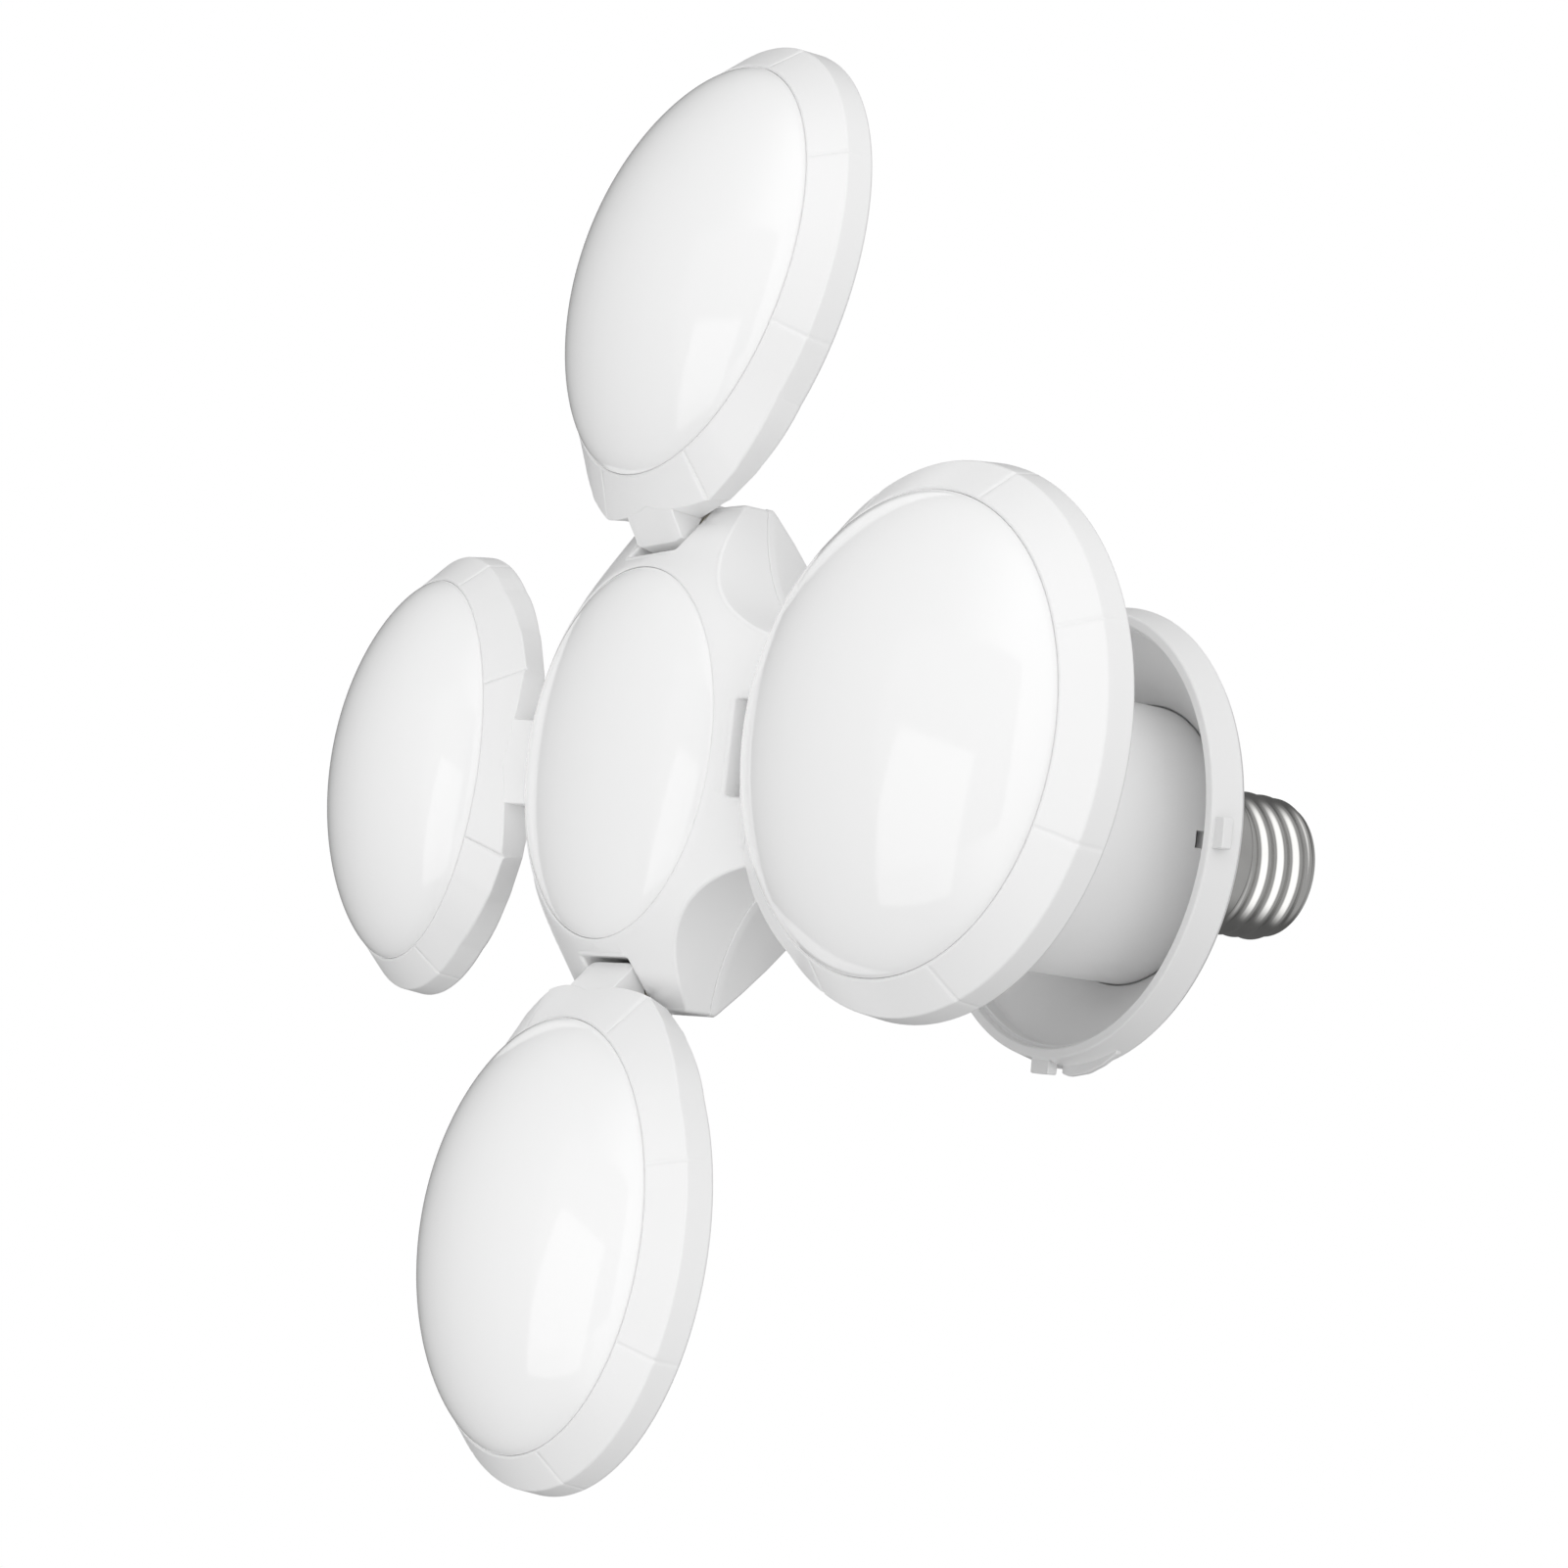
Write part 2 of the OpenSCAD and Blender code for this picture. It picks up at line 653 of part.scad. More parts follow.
// Everything of the frame around the petal's middle, before it is hollowed
module ring_body() {
    reach = shoulder_a + 6;
    sector_z = -lens_off + 0.15;
    rotate_extrude() polygon([[0, -lens_off], [lip_r, -lens_off], [bevel_r, -bevel_off],
        [petal_r, -rear_off], [0, -rear_off]]);
    shoulder_wedge();
    mirror([0, 1, 0]) shoulder_wedge();
    intersection() {
        rotate_extrude() polygon([[lip_r - 1, sector_z], [lip_r, sector_z],
            [reach, sector_z + shoulder_slope * (reach - lip_r)], [reach, -rear_off], [lip_r - 1, -rear_off]]);
        translate([0, 0, -lens_off - 1]) linear_extrude(lens_off) polygon([
            [-shoulder_a, shoulder_t], [-shoulder_a, -shoulder_t],
            [4 - lip_r, -shoulder_t], [4 - lip_r, shoulder_t]]);
    }
}

// The tongue with the barrel around the pin, which fills the hub's notch; its front runs on from the
// ring's cone, drops faster towards the hub, and its end leans back to the barrel
module tongue() {
    root_u = shoulder_u + 0.7;
    end_u = -3.42;
    end_z = -5.82;
    end_lean = 8;
    cone_z = -lens_off + 0.2;
    reach = petal_arm + 7;
    intersection() {
        rotate([90, 0, 0]) linear_extrude(tongue_w, center = true) union() {
            circle(r = knuckle_r);
            polygon([[root_u, end_z - tongue_slope * (root_u - end_u)], [end_u, end_z],
                polar(knuckle_r - 0.05, 180 + end_lean), [0, 0], [root_u, 0]]);
        }
        translate([petal_arm, 0, 0]) rotate_extrude() polygon([[lip_r, cone_z],
            [reach, cone_z + shoulder_slope * (reach - lip_r)], [reach, knuckle_r + 1], [lip_r, knuckle_r + 1]]);
    }
}

// Seat of the diffuser's flange and the light board, and seat of the back cover
module ring_hollow() {
    post(petal_lens_r + flange_w + slip_gap, -flange_off, 0);
    post(cover_r + slip_gap, -cover_off, 0);
}

// One fine groove across the bevel, at an angle from the hinge
module bevel_groove(a, slope, length) {
    rotate([0, 0, 180 + a]) translate([lip_r + 0.3, 0, -lens_off + 0.3 * slope])
        rotate([0, -atan(slope), 0]) mirror([0, 0, 1])
            translate([0, -0.3, -0.3]) cube([length, 0.6, 3]);
}

module petal_frame() {
    bevel_slope = bevel_h / (bevel_r - lip_r);
    recess_w = (notch_w - knuckle_w) / 2 + 0.2;
    color("white") difference() {
        union() {
            translate([petal_arm, 0, 0]) {
                difference() {
                    ring_body();
                    ring_hollow();
                    for (a = [67.5, 112.5, 157.5]) for (s = [-1, 1])
                        bevel_groove(s * a, bevel_slope, bevel_h * 1.36);
                    for (s = [-1, 1]) bevel_groove(s * groove_step / 2, shoulder_slope, 12);
                }
                // Bosses for the cover screws, fused to the ring
                ring_of(cover_screws_at, cover_screw_r) post(1.9, -flange_off - 0.4, -cover_off - 0.2);
            }
            tongue();
        }
        hinge_bar(pin_r + pin_run, notch_w);
        // Recesses for the friction washers
        for (s = [-1, 1]) translate([0, s * (knuckle_w + recess_w) / 2, 0]) hinge_bar(washer_r + move_gap, recess_w);
        translate([petal_arm, 0, 0]) {
            post(petal_lens_r + slip_gap, -lens_off - 1, 0);
            ring_of(cover_screws_at, cover_screw_r) post(screw_pilot_r, -cover_off - 4, 0);
        }
    }
}

module petal_diffuser() {
    flange_z = seat_gap - flange_off;
    color("whitesmoke") translate([petal_arm, 0, 0]) union() {
        domed_cap(petal_lens_r, petal_dome_h, -lens_off, flange_z + flange_t - 0.3);
        difference() {
            post(petal_lens_r + flange_w, flange_z, flange_z + flange_t);
            post(petal_lens_r - 0.7, flange_z - 1, 0);
            ring_of(cover_screws_at, cover_screw_r) post(2.1, flange_z - 1, 0);
        }
    }
}

module petal_light_board() {
    color("lightgray") translate([petal_arm, 0, 0]) difference() {
        post(petal_lens_r + flange_w, -board_off, -board_off + board_t);
        ring_of(cover_screws_at, cover_screw_r) post(2.1, -board_off - 1, 0);
        post(2.5, -board_off - 1, 0);
    }
}

module petal_light_chips() {
    color("khaki") translate([petal_arm, 0, 0]) {
        ring_of([0:20:340], 0.73 * petal_lens_r) light_chip(-board_off);
        ring_of([0:45:315], 0.35 * petal_lens_r) light_chip(-board_off);
    }
}

// Raised cover with radial cooling slots and a rib that presses on the light board
module petal_back_cover() {
    rib_r = petal_lens_r - 0.5;
    step_r = petal_lens_r - 5;
    front = -cover_off + seat_gap;
    back = front + cover_t;
    color("white") translate([petal_arm, 0, 0]) difference() {
        rotate_extrude() polygon([
            [0, front + cover_raise], [step_r - 2, front + cover_raise], [step_r, front],
            [rib_r - 1.6, front], [rib_r - 1.6, -board_off + board_t + seat_gap],
            [rib_r, -board_off + board_t + seat_gap], [rib_r, front], [cover_r, front], [cover_r, back],
            [step_r + 1, back], [step_r - 1, back + cover_raise], [0, back + cover_raise]]);
        ring_of(cover_screws_at, cover_screw_r) {
            post(screw_pilot_r + 0.3, front - 1, 0);
            post(screw_head_r + slip_gap, back - screw_head_t, 0);
        }
        for (i = [0:slot_count - 1]) rotate([0, 0, (i + 0.5) * 360 / slot_count])
            translate([10, -1, front]) cube([step_r - 14, 2, 8]);
    }
}

module petal_cover_screws() {
    seat = -cover_off + seat_gap + cover_t - screw_head_t;
    color("silver") translate([petal_arm, 0, 0]) ring_of(cover_screws_at, cover_screw_r)
        pan_screw(screw_head_r, screw_head_t - seat_gap, screw_pilot_r - seat_gap, 4.2, seat);
}

// ---------- nodes ----------

base_shell();
base_insulator();
base_contact();
rear_dish();
column();
driver_board();
driver_transformer();
driver_capacitors();
driver_choke();
driver_chips();
hub_rear_housing();
hub_front_housing();
hub_diffuser();
hub_light_board();
hub_light_chips();
housing_screws();
column_screws();
hinge_pins();
friction_washers();
for (k = [0:3]) {
    petal = str(SIDES[k], "_petal_");
    at_hinge(k) petal_frame();
    at_hinge(k) petal_diffuser();
    at_hinge(k) petal_light_board();
    at_hinge(k) petal_light_chips();
    at_hinge(k) petal_back_cover();
    at_hinge(k) petal_cover_screws();
}
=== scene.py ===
import json
import math

import bmesh
import bpy
import numpy as np
from mathutils import Matrix, Vector, geometry


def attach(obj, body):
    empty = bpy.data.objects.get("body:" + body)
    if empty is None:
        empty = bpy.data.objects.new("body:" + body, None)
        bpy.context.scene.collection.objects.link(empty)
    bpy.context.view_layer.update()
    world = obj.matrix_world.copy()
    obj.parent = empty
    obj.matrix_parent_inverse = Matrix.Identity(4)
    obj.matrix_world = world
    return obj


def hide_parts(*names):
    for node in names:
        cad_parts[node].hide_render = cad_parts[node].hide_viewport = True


bpy.ops.wm.read_factory_settings(use_empty=True)
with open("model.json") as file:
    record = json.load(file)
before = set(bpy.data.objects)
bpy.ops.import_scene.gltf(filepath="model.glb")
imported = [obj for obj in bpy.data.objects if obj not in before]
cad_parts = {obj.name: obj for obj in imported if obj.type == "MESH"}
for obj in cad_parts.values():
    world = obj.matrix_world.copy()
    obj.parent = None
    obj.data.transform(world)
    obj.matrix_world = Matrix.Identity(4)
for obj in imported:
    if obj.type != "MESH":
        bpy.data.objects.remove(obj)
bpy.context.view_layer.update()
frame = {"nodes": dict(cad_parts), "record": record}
nodes = frame["nodes"]

MM = 0.001
SIDES = ("left", "top", "right", "bottom")


# ---------- sizes in millimetres, as in the part's source ----------

# Hub: half its width across the flats, the hinge line, the seam, the rear taper and the lens
HUB_HALF = 40.2
HUB_CORNER = 1.0
HUB_ROLL = 0.7
HINGE_R = 37.0
HINGE_Z = -103.0
LENS_Z = -112.5
PARTING_Z = -99.7
TAPER_Z = -98.5
COLUMN_Z = -83.0
COLUMN_R = 24.8
HUB_HOLE_R = 30.05
HUB_LENS_R = 29.9
HUB_DOME_H = 7.0
HUB_SKIRT_H = 4.6
CONE_SLOPE = 0.7
CONE_EDGE_Z = LENS_Z - 0.5
SCALLOP_R = 25.4
SCALLOP_AT = 59.5
NOTCH_W = 15.0
NOTCH_IN = 32.45

# The nose around a hinge line: its radius, and where across the flat it takes over from the cone
NOSE_R = 3.25
NOSE_BLEND = (-0.5, 1.1)

# The points that carry the hub's front: rows past each hinge line, rings, and their margins
NOSE_ROWS = (-0.4, -0.1, 0.2, 0.5, 0.8, 1.1, 1.5, 1.9, 2.2)
NOSE_HALF_W = 16
NOSE_STEP = 0.8
FACE_RINGS = (31.4, 41)
FACE_STEP = 1.1
FACE_MARGIN = 0.25
RIM_MARGIN = 0.4

# The hole's edge in the hub's front, and the step on which the lens sits
HOLE_ROLL = 0.35
HOLE_BEND_H = 5
HOLE_STEP_H = 6.2
HOLE_STEP_W = 4.5
LENS_GAP = 0.04

# The rear housing: what it stands out past the front one, its trough, and its end at the column
PROUD = 0.16
TROUGH_GAP = 0.7
TAPER_ROWS = (-0.5, -0.1, 0.4, 5, 10)
REAR_ROLL = 0.8
REAR_END_R = 22
REAR_TOP_HALF = COLUMN_R + 2
REAR_TOP_SCALLOP = SCALLOP_AT - COLUMN_R - 0.7
REAR_TOP_CORNER = 2.5
SCALLOP_POWER = 1.7

# Milky caps: wall, how much flatter the inner dome is, a dome's form, and the tiny ring in its middle
CAP_WALL = 1.5
CAP_FLATTER = 0.3
DOME_POWER = 1.43
DOME_ROWS = 36
CAP_TURNS = 144
POLE_R = 0.01

# Petal, in its own frame on the hinge: the arm to its middle, radii, and depths before the pin
PETAL_ARM = 40.8
PETAL_LENS_R = 34.3
PETAL_DOME_H = 11.99
LIP_R = 34.75
BEVEL_R = 39.4
SEAT_R = 38.0
FLANGE_R = 36.0
LENS_OFF = 12.38
BEVEL_OFF = 7.98
REAR_OFF = 3.55
FLANGE_OFF = 8.58
SEAT_DEPTH = 1.6
LEDGE_W = 0.9
HOLE_EDGE = 0.12
EDGE_ROLL = 0.3
SIDE_DRAFT = 0.6
RING_SLOPE = (LENS_OFF - BEVEL_OFF) / (BEVEL_R - LIP_R)
FOLDS = {"left": 6.0, "top": 6.5, "right": 4.5, "bottom": -3.0}

# The flange of a petal's lens, behind the ring's ledge
SKIRT_END = 0.95
SKIRT_LAP = 0.2
SKIRT_REACH = 1.55
SKIRT_FRONT = 0.05
SKIRT_BACK = 1.25

# The shoulder beside the hinge, with its angles in degrees from the hinge
SHOULDER_A = 39.1
SHOULDER_T = 16.36
SHOULDER_SLOPE = 0.58
SHOULDER_LEAN = 1.6
SHOULDER_FULL = 2.4
SHOULDER_ROLL = 9
LEAN_SPAN = (8, 22)
CORNER_AT = 22.5
CORNER_ROLL = 0.4
CORNER_Z = -7.69
RING_FROM = 24

# The ring's sections and the grooves in its bevel, in degrees, and a groove's depth and lean
SECTION_STEP = 2.25
CLOSER_SPAN = (19, 60)
GROOVES = (22.5, 67.5, 112.5, 157.5)
GROOVE_ROWS = (-1.6, -0.9, -0.6, -0.3, 0, 0.3, 0.6, 0.9, 1.6)
GROOVE_CLEAR = 1.5
GROOVE_HALF = 0.5
GROOVE_DEPTH = 0.32
GROOVE_LEAN = 0.45
GROOVE_BACK_Z = -5

# The tongue and its barrel on the pin
TONGUE_W = 14.4
TONGUE_ROOT = (3.6, -5.0)
TONGUE_END = (-3.42, -6.1)
TONGUE_ROLL = 0.3
TONGUE_STEP = 0.5
TONGUE_TUCK = 0.45
TONGUE_TUCK_W = 2.6
TONGUE_GAP = 0.02
TONGUE_SINK = 0.5
CONE_BLEND = 0.25
BARREL_R = 4.2
BARREL_ANGLES = range(-56, 188, 8)
BORE_R = 1.55
RECESS_R = 3.45
RECESS_W = 6.65

# Dish: rim, cup and floor, and the neck that the shell sits on
RIM_Z = -22.5
RIM_H = 5.4
DISH_FRONT_R = 39.5
DISH_R = 40.9
DISH_INNER_R = 37.7
FLOOR_Z = -8.0
FLOOR_HOLE_R = 21.2
FOOT_GROOVE = 0.3
CUP_EDGE_R = 37.2
CUP_EDGE_H = 4.9
STEP_W = 0.8
STEP_H = 1.6
BACK_FOOT_R = 17.5
COLLAR_SEAT_R = 14.6
NECK_R = 12.8
NECK_H = 6.0

# Tabs on the rim, the ears behind them, how much less an ear stands out than the bottom one, and
# how far a tab lies off its place
TAB_Z = RIM_Z + 0.7
TAB_T = 2.0
TAB_W = 5.2
TAB_SIDE = 1.3
TAB_REACH = 2.6
TAB_SHIFT = {"left": 0, "top": 0, "right": 0.9, "bottom": 0}
EAR_GAP = 0.8
EAR_T = 1.2
EAR_WORN = {"left": 1.0, "top": 1.0, "right": 2.2, "bottom": 0}

# Screw base
THREAD_ROOT = 12.3
THREAD_DEPTH = 0.9
PITCH = 3.63
COLLAR_R = 13.25
COLLAR_H = 9.1
THREAD_FADE = 1.2
THREAD_ROWS = 66
THREAD_Z = COLLAR_H + 0.1 * PITCH
THREAD_TURNS = 4
SHELL_TOP = THREAD_Z + THREAD_TURNS * PITCH
SHELL_LIP = 1.9
SHELL_RISE = 0.4
DISC_TOP = SHELL_TOP + 3.2
DISC_HOLE_R = 1.5
BUTTON_R = 4.6


# ---------- light and camera ----------

# In metres: the middle of the lamp, and the floor far below it
MIDDLE = Vector((0, 0, -0.09))
STAGE_Z = -2.6
STAGE_HALF = 1.3

# The world's light on plain surfaces, then the strip that glossy rays see
KEY_SIDE = (-0.66, 0.40, -0.64)
WORLD_LEVELS = (0.34, 1.34)
SHADE_SIDE = (-0.1, -0.5, 0.8)
SHADE_EDGE = (0.15, 0.9)
SHADE_LEVEL = -0.28
STRIP_SIDE = (-1, 0.1, 0)
STRIP_REACH = (-0.3, 0.4)
STRIP_FRONT = (0, 0, -1)
STRIP_EDGE = (0.0, 0.4)
STRIP_LEVELS = (0.3, 1.35)
DIM_LEVEL = 0.12

# The studio light that the diffusers mirror, in metres and watts
BOX_SIDE = (0.128, -0.316, -0.94)
BOX_UP = (0.17, -0.72, 0.28)
BOX_AWAY = 1.0
BOX_SIZE = (0.56, 0.78)
BOX_POWER = 1.5

# The camera fitted to the photo, in pixels, directions and millimetres
PHOTO_PX = 1601
FOCAL_PX = 3283.53
CENTRE_PX = (895.247, 900.225)
SENSOR = 36
CAMERA_AT = (-450.078, -54.513, -354.855)
CAMERA_RIGHT = (-0.550938, 0.111846, 0.827018)
CAMERA_DOWN = (0.001532, -0.990841, 0.135022)
CAMERA_AHEAD = (0.834545, 0.075655, 0.545720)


# ---------- materials ----------

# The stretch of a noise that is spread over a range, and its repeats for each metre
NOISE_SPAN = (0.35, 0.65)
COLOUR_DRIFT = 14
GLOSS_DRIFT = 45
GRAIN = 2600
METAL_DRIFT = 160
FLOOR_DRIFT = 3


def principled(name, colour, roughness, metallic=0.0):
    """A new material with a plain colour and roughness."""
    mat = bpy.data.materials.new(name)
    mat.use_nodes = True
    shader = mat.node_tree.nodes["Principled BSDF"]
    shader.inputs["Base Color"].default_value = (*colour, 1)
    shader.inputs["Roughness"].default_value = roughness
    shader.inputs["Metallic"].default_value = metallic
    return mat


def noise(mat, scale, detail=2.0):
    """Noise in object space: scale in repeats for each metre."""
    tree = mat.node_tree
    coords = tree.nodes.new("ShaderNodeTexCoord")
    tex = tree.nodes.new("ShaderNodeTexNoise")
    tex.inputs["Scale"].default_value = scale
    tex.inputs["Detail"].default_value = detail
    tree.links.new(coords.outputs["Object"], tex.inputs["Vector"])
    return tex.outputs["Fac"]


def ramp(mat, source, socket, low, high):
    """Spreads a noise over two values or colours into a shader socket."""
    tree = mat.node_tree
    shader = tree.nodes["Principled BSDF"]
    if isinstance(low, tuple):
        node = tree.nodes.new("ShaderNodeValToRGB")
        for stop, place, colour in zip(node.color_ramp.elements, NOISE_SPAN, (low, high)):
            stop.position = place
            stop.color = (*colour, 1)
        tree.links.new(source, node.inputs["Fac"])
        tree.links.new(node.outputs["Color"], shader.inputs[socket])
        return
    node = tree.nodes.new("ShaderNodeMapRange")
    node.inputs["From Min"].default_value, node.inputs["From Max"].default_value = NOISE_SPAN
    node.inputs["To Min"].default_value, node.inputs["To Max"].default_value = low, high
    tree.links.new(source, node.inputs["Value"])
    tree.links.new(node.outputs["Result"], shader.inputs[socket])


def bump(mat, source, height, strength):
    """Lets a noise roughen the surface, by a height in metres."""
    tree = mat.node_tree
    node = tree.nodes.new("ShaderNodeBump")
    node.inputs["Distance"].default_value = height
    node.inputs["Strength"].default_value = strength
    tree.links.new(source, node.inputs["Height"])
    tree.links.new(node.outputs["Normal"], tree.nodes["Principled BSDF"].inputs["Normal"])


def moulded(name, colour, roughness, grain=0.0, spread=0.012):
    """Moulded plastic: its colour and gloss drift a little, and a grain may roughen it."""
    mat = principled(name, colour, roughness)
    low = tuple(c - spread for c in colour)
    ramp(mat, noise(mat, COLOUR_DRIFT), "Base Color", low, colour)
    ramp(mat, noise(mat, GLOSS_DRIFT), "Roughness", roughness * 0.92, roughness * 1.08)
    if grain:
        bump(mat, noise(mat, GRAIN, 1), grain * MM, 0.35)
    return mat


def metal(name, colour, roughness):
    """Bare metal, whose gloss and colour drift together."""
    mat = principled(name, colour, roughness, 1.0)
    drift = noise(mat, METAL_DRIFT, 3)
    ramp(mat, drift, "Roughness", roughness * 0.75, roughness * 1.3)
    ramp(mat, drift, "Base Color", tuple(c * 0.94 for c in colour), colour)
    return mat


LOOKS = {
    "base_metal": metal("nickel", (0.72, 0.715, 0.70), 0.13),
    "contact_metal": metal("tin", (0.66, 0.64, 0.60), 0.28),
    "screw_steel": metal("zinc_steel", (0.60, 0.61, 0.63), 0.30),
    "pin_steel": metal("bright_steel", (0.68, 0.68, 0.69), 0.20),
    "washer_brass": metal("brass", (0.72, 0.68, 0.58), 0.26),
    "insulator": moulded("insulator", (0.78, 0.77, 0.74), 0.35),
    "dish_plastic": moulded("dish_plastic", (0.81, 0.81, 0.81), 0.33),
    "column_plastic": moulded("column_plastic", (0.84, 0.84, 0.84), 0.42, grain=0.01),
    "shell_plastic": moulded("shell_plastic", (0.85, 0.85, 0.85), 0.30),
    "milky_plastic": moulded("milky_plastic", (0.895, 0.895, 0.895), 0.07, spread=0.006),
    "cover_plastic": moulded("cover_plastic", (0.84, 0.84, 0.84), 0.38),
    "circuit_board": moulded("circuit_board", (0.06, 0.24, 0.12), 0.35, spread=0.02),
    "coil_tape": moulded("coil_tape", (0.72, 0.48, 0.06), 0.30, spread=0.03),
    "capacitor_sleeve": moulded("capacitor_sleeve", (0.05, 0.06, 0.09), 0.25),
    "ferrite": moulded("ferrite", (0.06, 0.06, 0.06), 0.6),
    "chip_black": moulded("chip_black", (0.03, 0.03, 0.03), 0.5, spread=0.005),
    "board_metal": moulded("board_white", (0.80, 0.80, 0.78), 0.4),
    "phosphor": moulded("phosphor", (0.86, 0.72, 0.18), 0.45, spread=0.03),
}


def dress_cad():
    """Gives each CAD piece the look of its slot."""
    slot_of = {}
    for entry in frame["record"]["materials"]:
        for name in entry.get("nodes", []):
            slot_of[name] = entry["slot"]
    for name, obj in nodes.items():
        for spot in obj.material_slots:
            key = spot.material.name.split(".")[0] if spot.material else ""
            by_slot = LOOKS.get(slot_of.get(name, ""), LOOKS["shell_plastic"])
            spot.material = LOOKS.get(key) or by_slot


# ---------- mesh tools ----------

# A rolled corner takes at most this share of its sides; lengths under TINY count as none
CORNER_SHARE = 0.48
TINY = 1e-6

# In metres: points closer than WELD become one, and edges under SLIVER go
WELD = 2e-6
SLIVER = 1e-7

# In millimetres: what a fill takes as no distance
FILL_SLACK = 1e-5


def polar(r, degrees):
    """The point at a radius and an angle."""
    return (r * math.cos(math.radians(degrees)), r * math.sin(math.radians(degrees)))


def circle(r, z, angles):
    """A ring of points about the axis."""
    return np.column_stack([r * np.cos(angles), r * np.sin(angles), np.full(len(angles), z)])


def quarter(k):
    """The turn by k quarters, to multiply rows of plan points with."""
    c, s = round(math.cos(math.pi / 2 * k)), round(math.sin(math.pi / 2 * k))
    return np.array([[c, s], [-s, c]])


def smooth(lo, hi, x):
    """0 at lo and 1 at hi, with an even run between them."""
    t = np.clip((np.asarray(x, float) - lo) / (hi - lo), 0, 1)
    return t * t * (3 - 2 * t)


def rounded(corners, steps):
    """An open run of points (x, y) or (x, y, radius): a corner with a radius is rolled."""
    points = [np.array(c[:2], float) for c in corners]
    out = [points[0]]
    for i in range(1, len(points) - 1):
        radius = corners[i][2] if len(corners[i]) > 2 else 0
        out += rolled_corner(points[i - 1], points[i], points[i + 1], radius, steps)
    return np.array(out + [points[-1]])


def rolled_corner(before, at, after, radius, steps):
    """The points of one corner, on an arc that touches both of its sides."""
    if not radius:
        return [at]
    a, c = before - at, after - at
    la, lc = np.linalg.norm(a), np.linalg.norm(c)
    a, c = a / la, c / lc
    half = math.acos(max(-1, min(1, a @ c))) / 2
    reach = min(radius / math.tan(half), CORNER_SHARE * la, CORNER_SHARE * lc)
    spread = a + c
    if reach < TINY or np.linalg.norm(spread) < TINY:
        return [at] * (steps + 1)
    radius = reach * math.tan(half)
    middle = at + spread / np.linalg.norm(spread) * radius / math.sin(half)
    p, q = at + a * reach - middle, at + c * reach - middle
    turn = math.atan2(p[0] * q[1] - p[1] * q[0], p @ q)
    run = []
    for i in range(steps + 1):
        t = turn * i / steps
        run.append(middle + np.array([p[0] * math.cos(t) - p[1] * math.sin(t),
                                      p[0] * math.sin(t) + p[1] * math.cos(t)]))
    return run


def rolled_rim(radius, steps):
    """A quarter round as pairs (a, b): a falls from the radius to 0 while b grows from 0 to it."""
    turns = [math.pi / 2 * i / steps for i in range(steps + 1)]
    return [(radius * (1 - math.sin(t)), radius * (1 - math.cos(t))) for t in turns]


def subdivided(run, longest):
    """A closed run of points with its long stretches cut into equal parts."""
    out = []
    for a, b in zip(run, np.vstack([run[1:], run[:1]])):
        n = max(1, int(math.ceil(np.linalg.norm(b - a) / longest)))
        out += [a + (b - a) * i / n for i in range(n)]
    return np.array(out)


def inset(loop, by):
    """A closed loop of points moved inwards; the loop runs counter-clockwise."""
    ahead = np.roll(loop, -1, 0) - np.roll(loop, 1, 0)
    ahead /= np.maximum(np.linalg.norm(ahead, axis=1, keepdims=True), 1e-9)
    return loop + by * np.stack([-ahead[:, 1], ahead[:, 0]], 1)


def lift(loop, z):
    """A plan loop at a level, or at a level for each of its points."""
    return np.column_stack([loop, np.broadcast_to(z, len(loop))])


def inside(loop, point):
    """Whether a point lies inside a closed loop."""
    x, y = point[0], point[1]
    a = np.asarray(loop)[:, :2]
    b = np.roll(a, -1, 0)
    crosses = (a[:, 1] > y) != (b[:, 1] > y)
    rise = np.where(b[:, 1] == a[:, 1], 1, b[:, 1] - a[:, 1])
    at_x = a[:, 0] + (y - a[:, 1]) * (b[:, 0] - a[:, 0]) / rise
    return np.count_nonzero(crosses & (x < at_x)) % 2 == 1


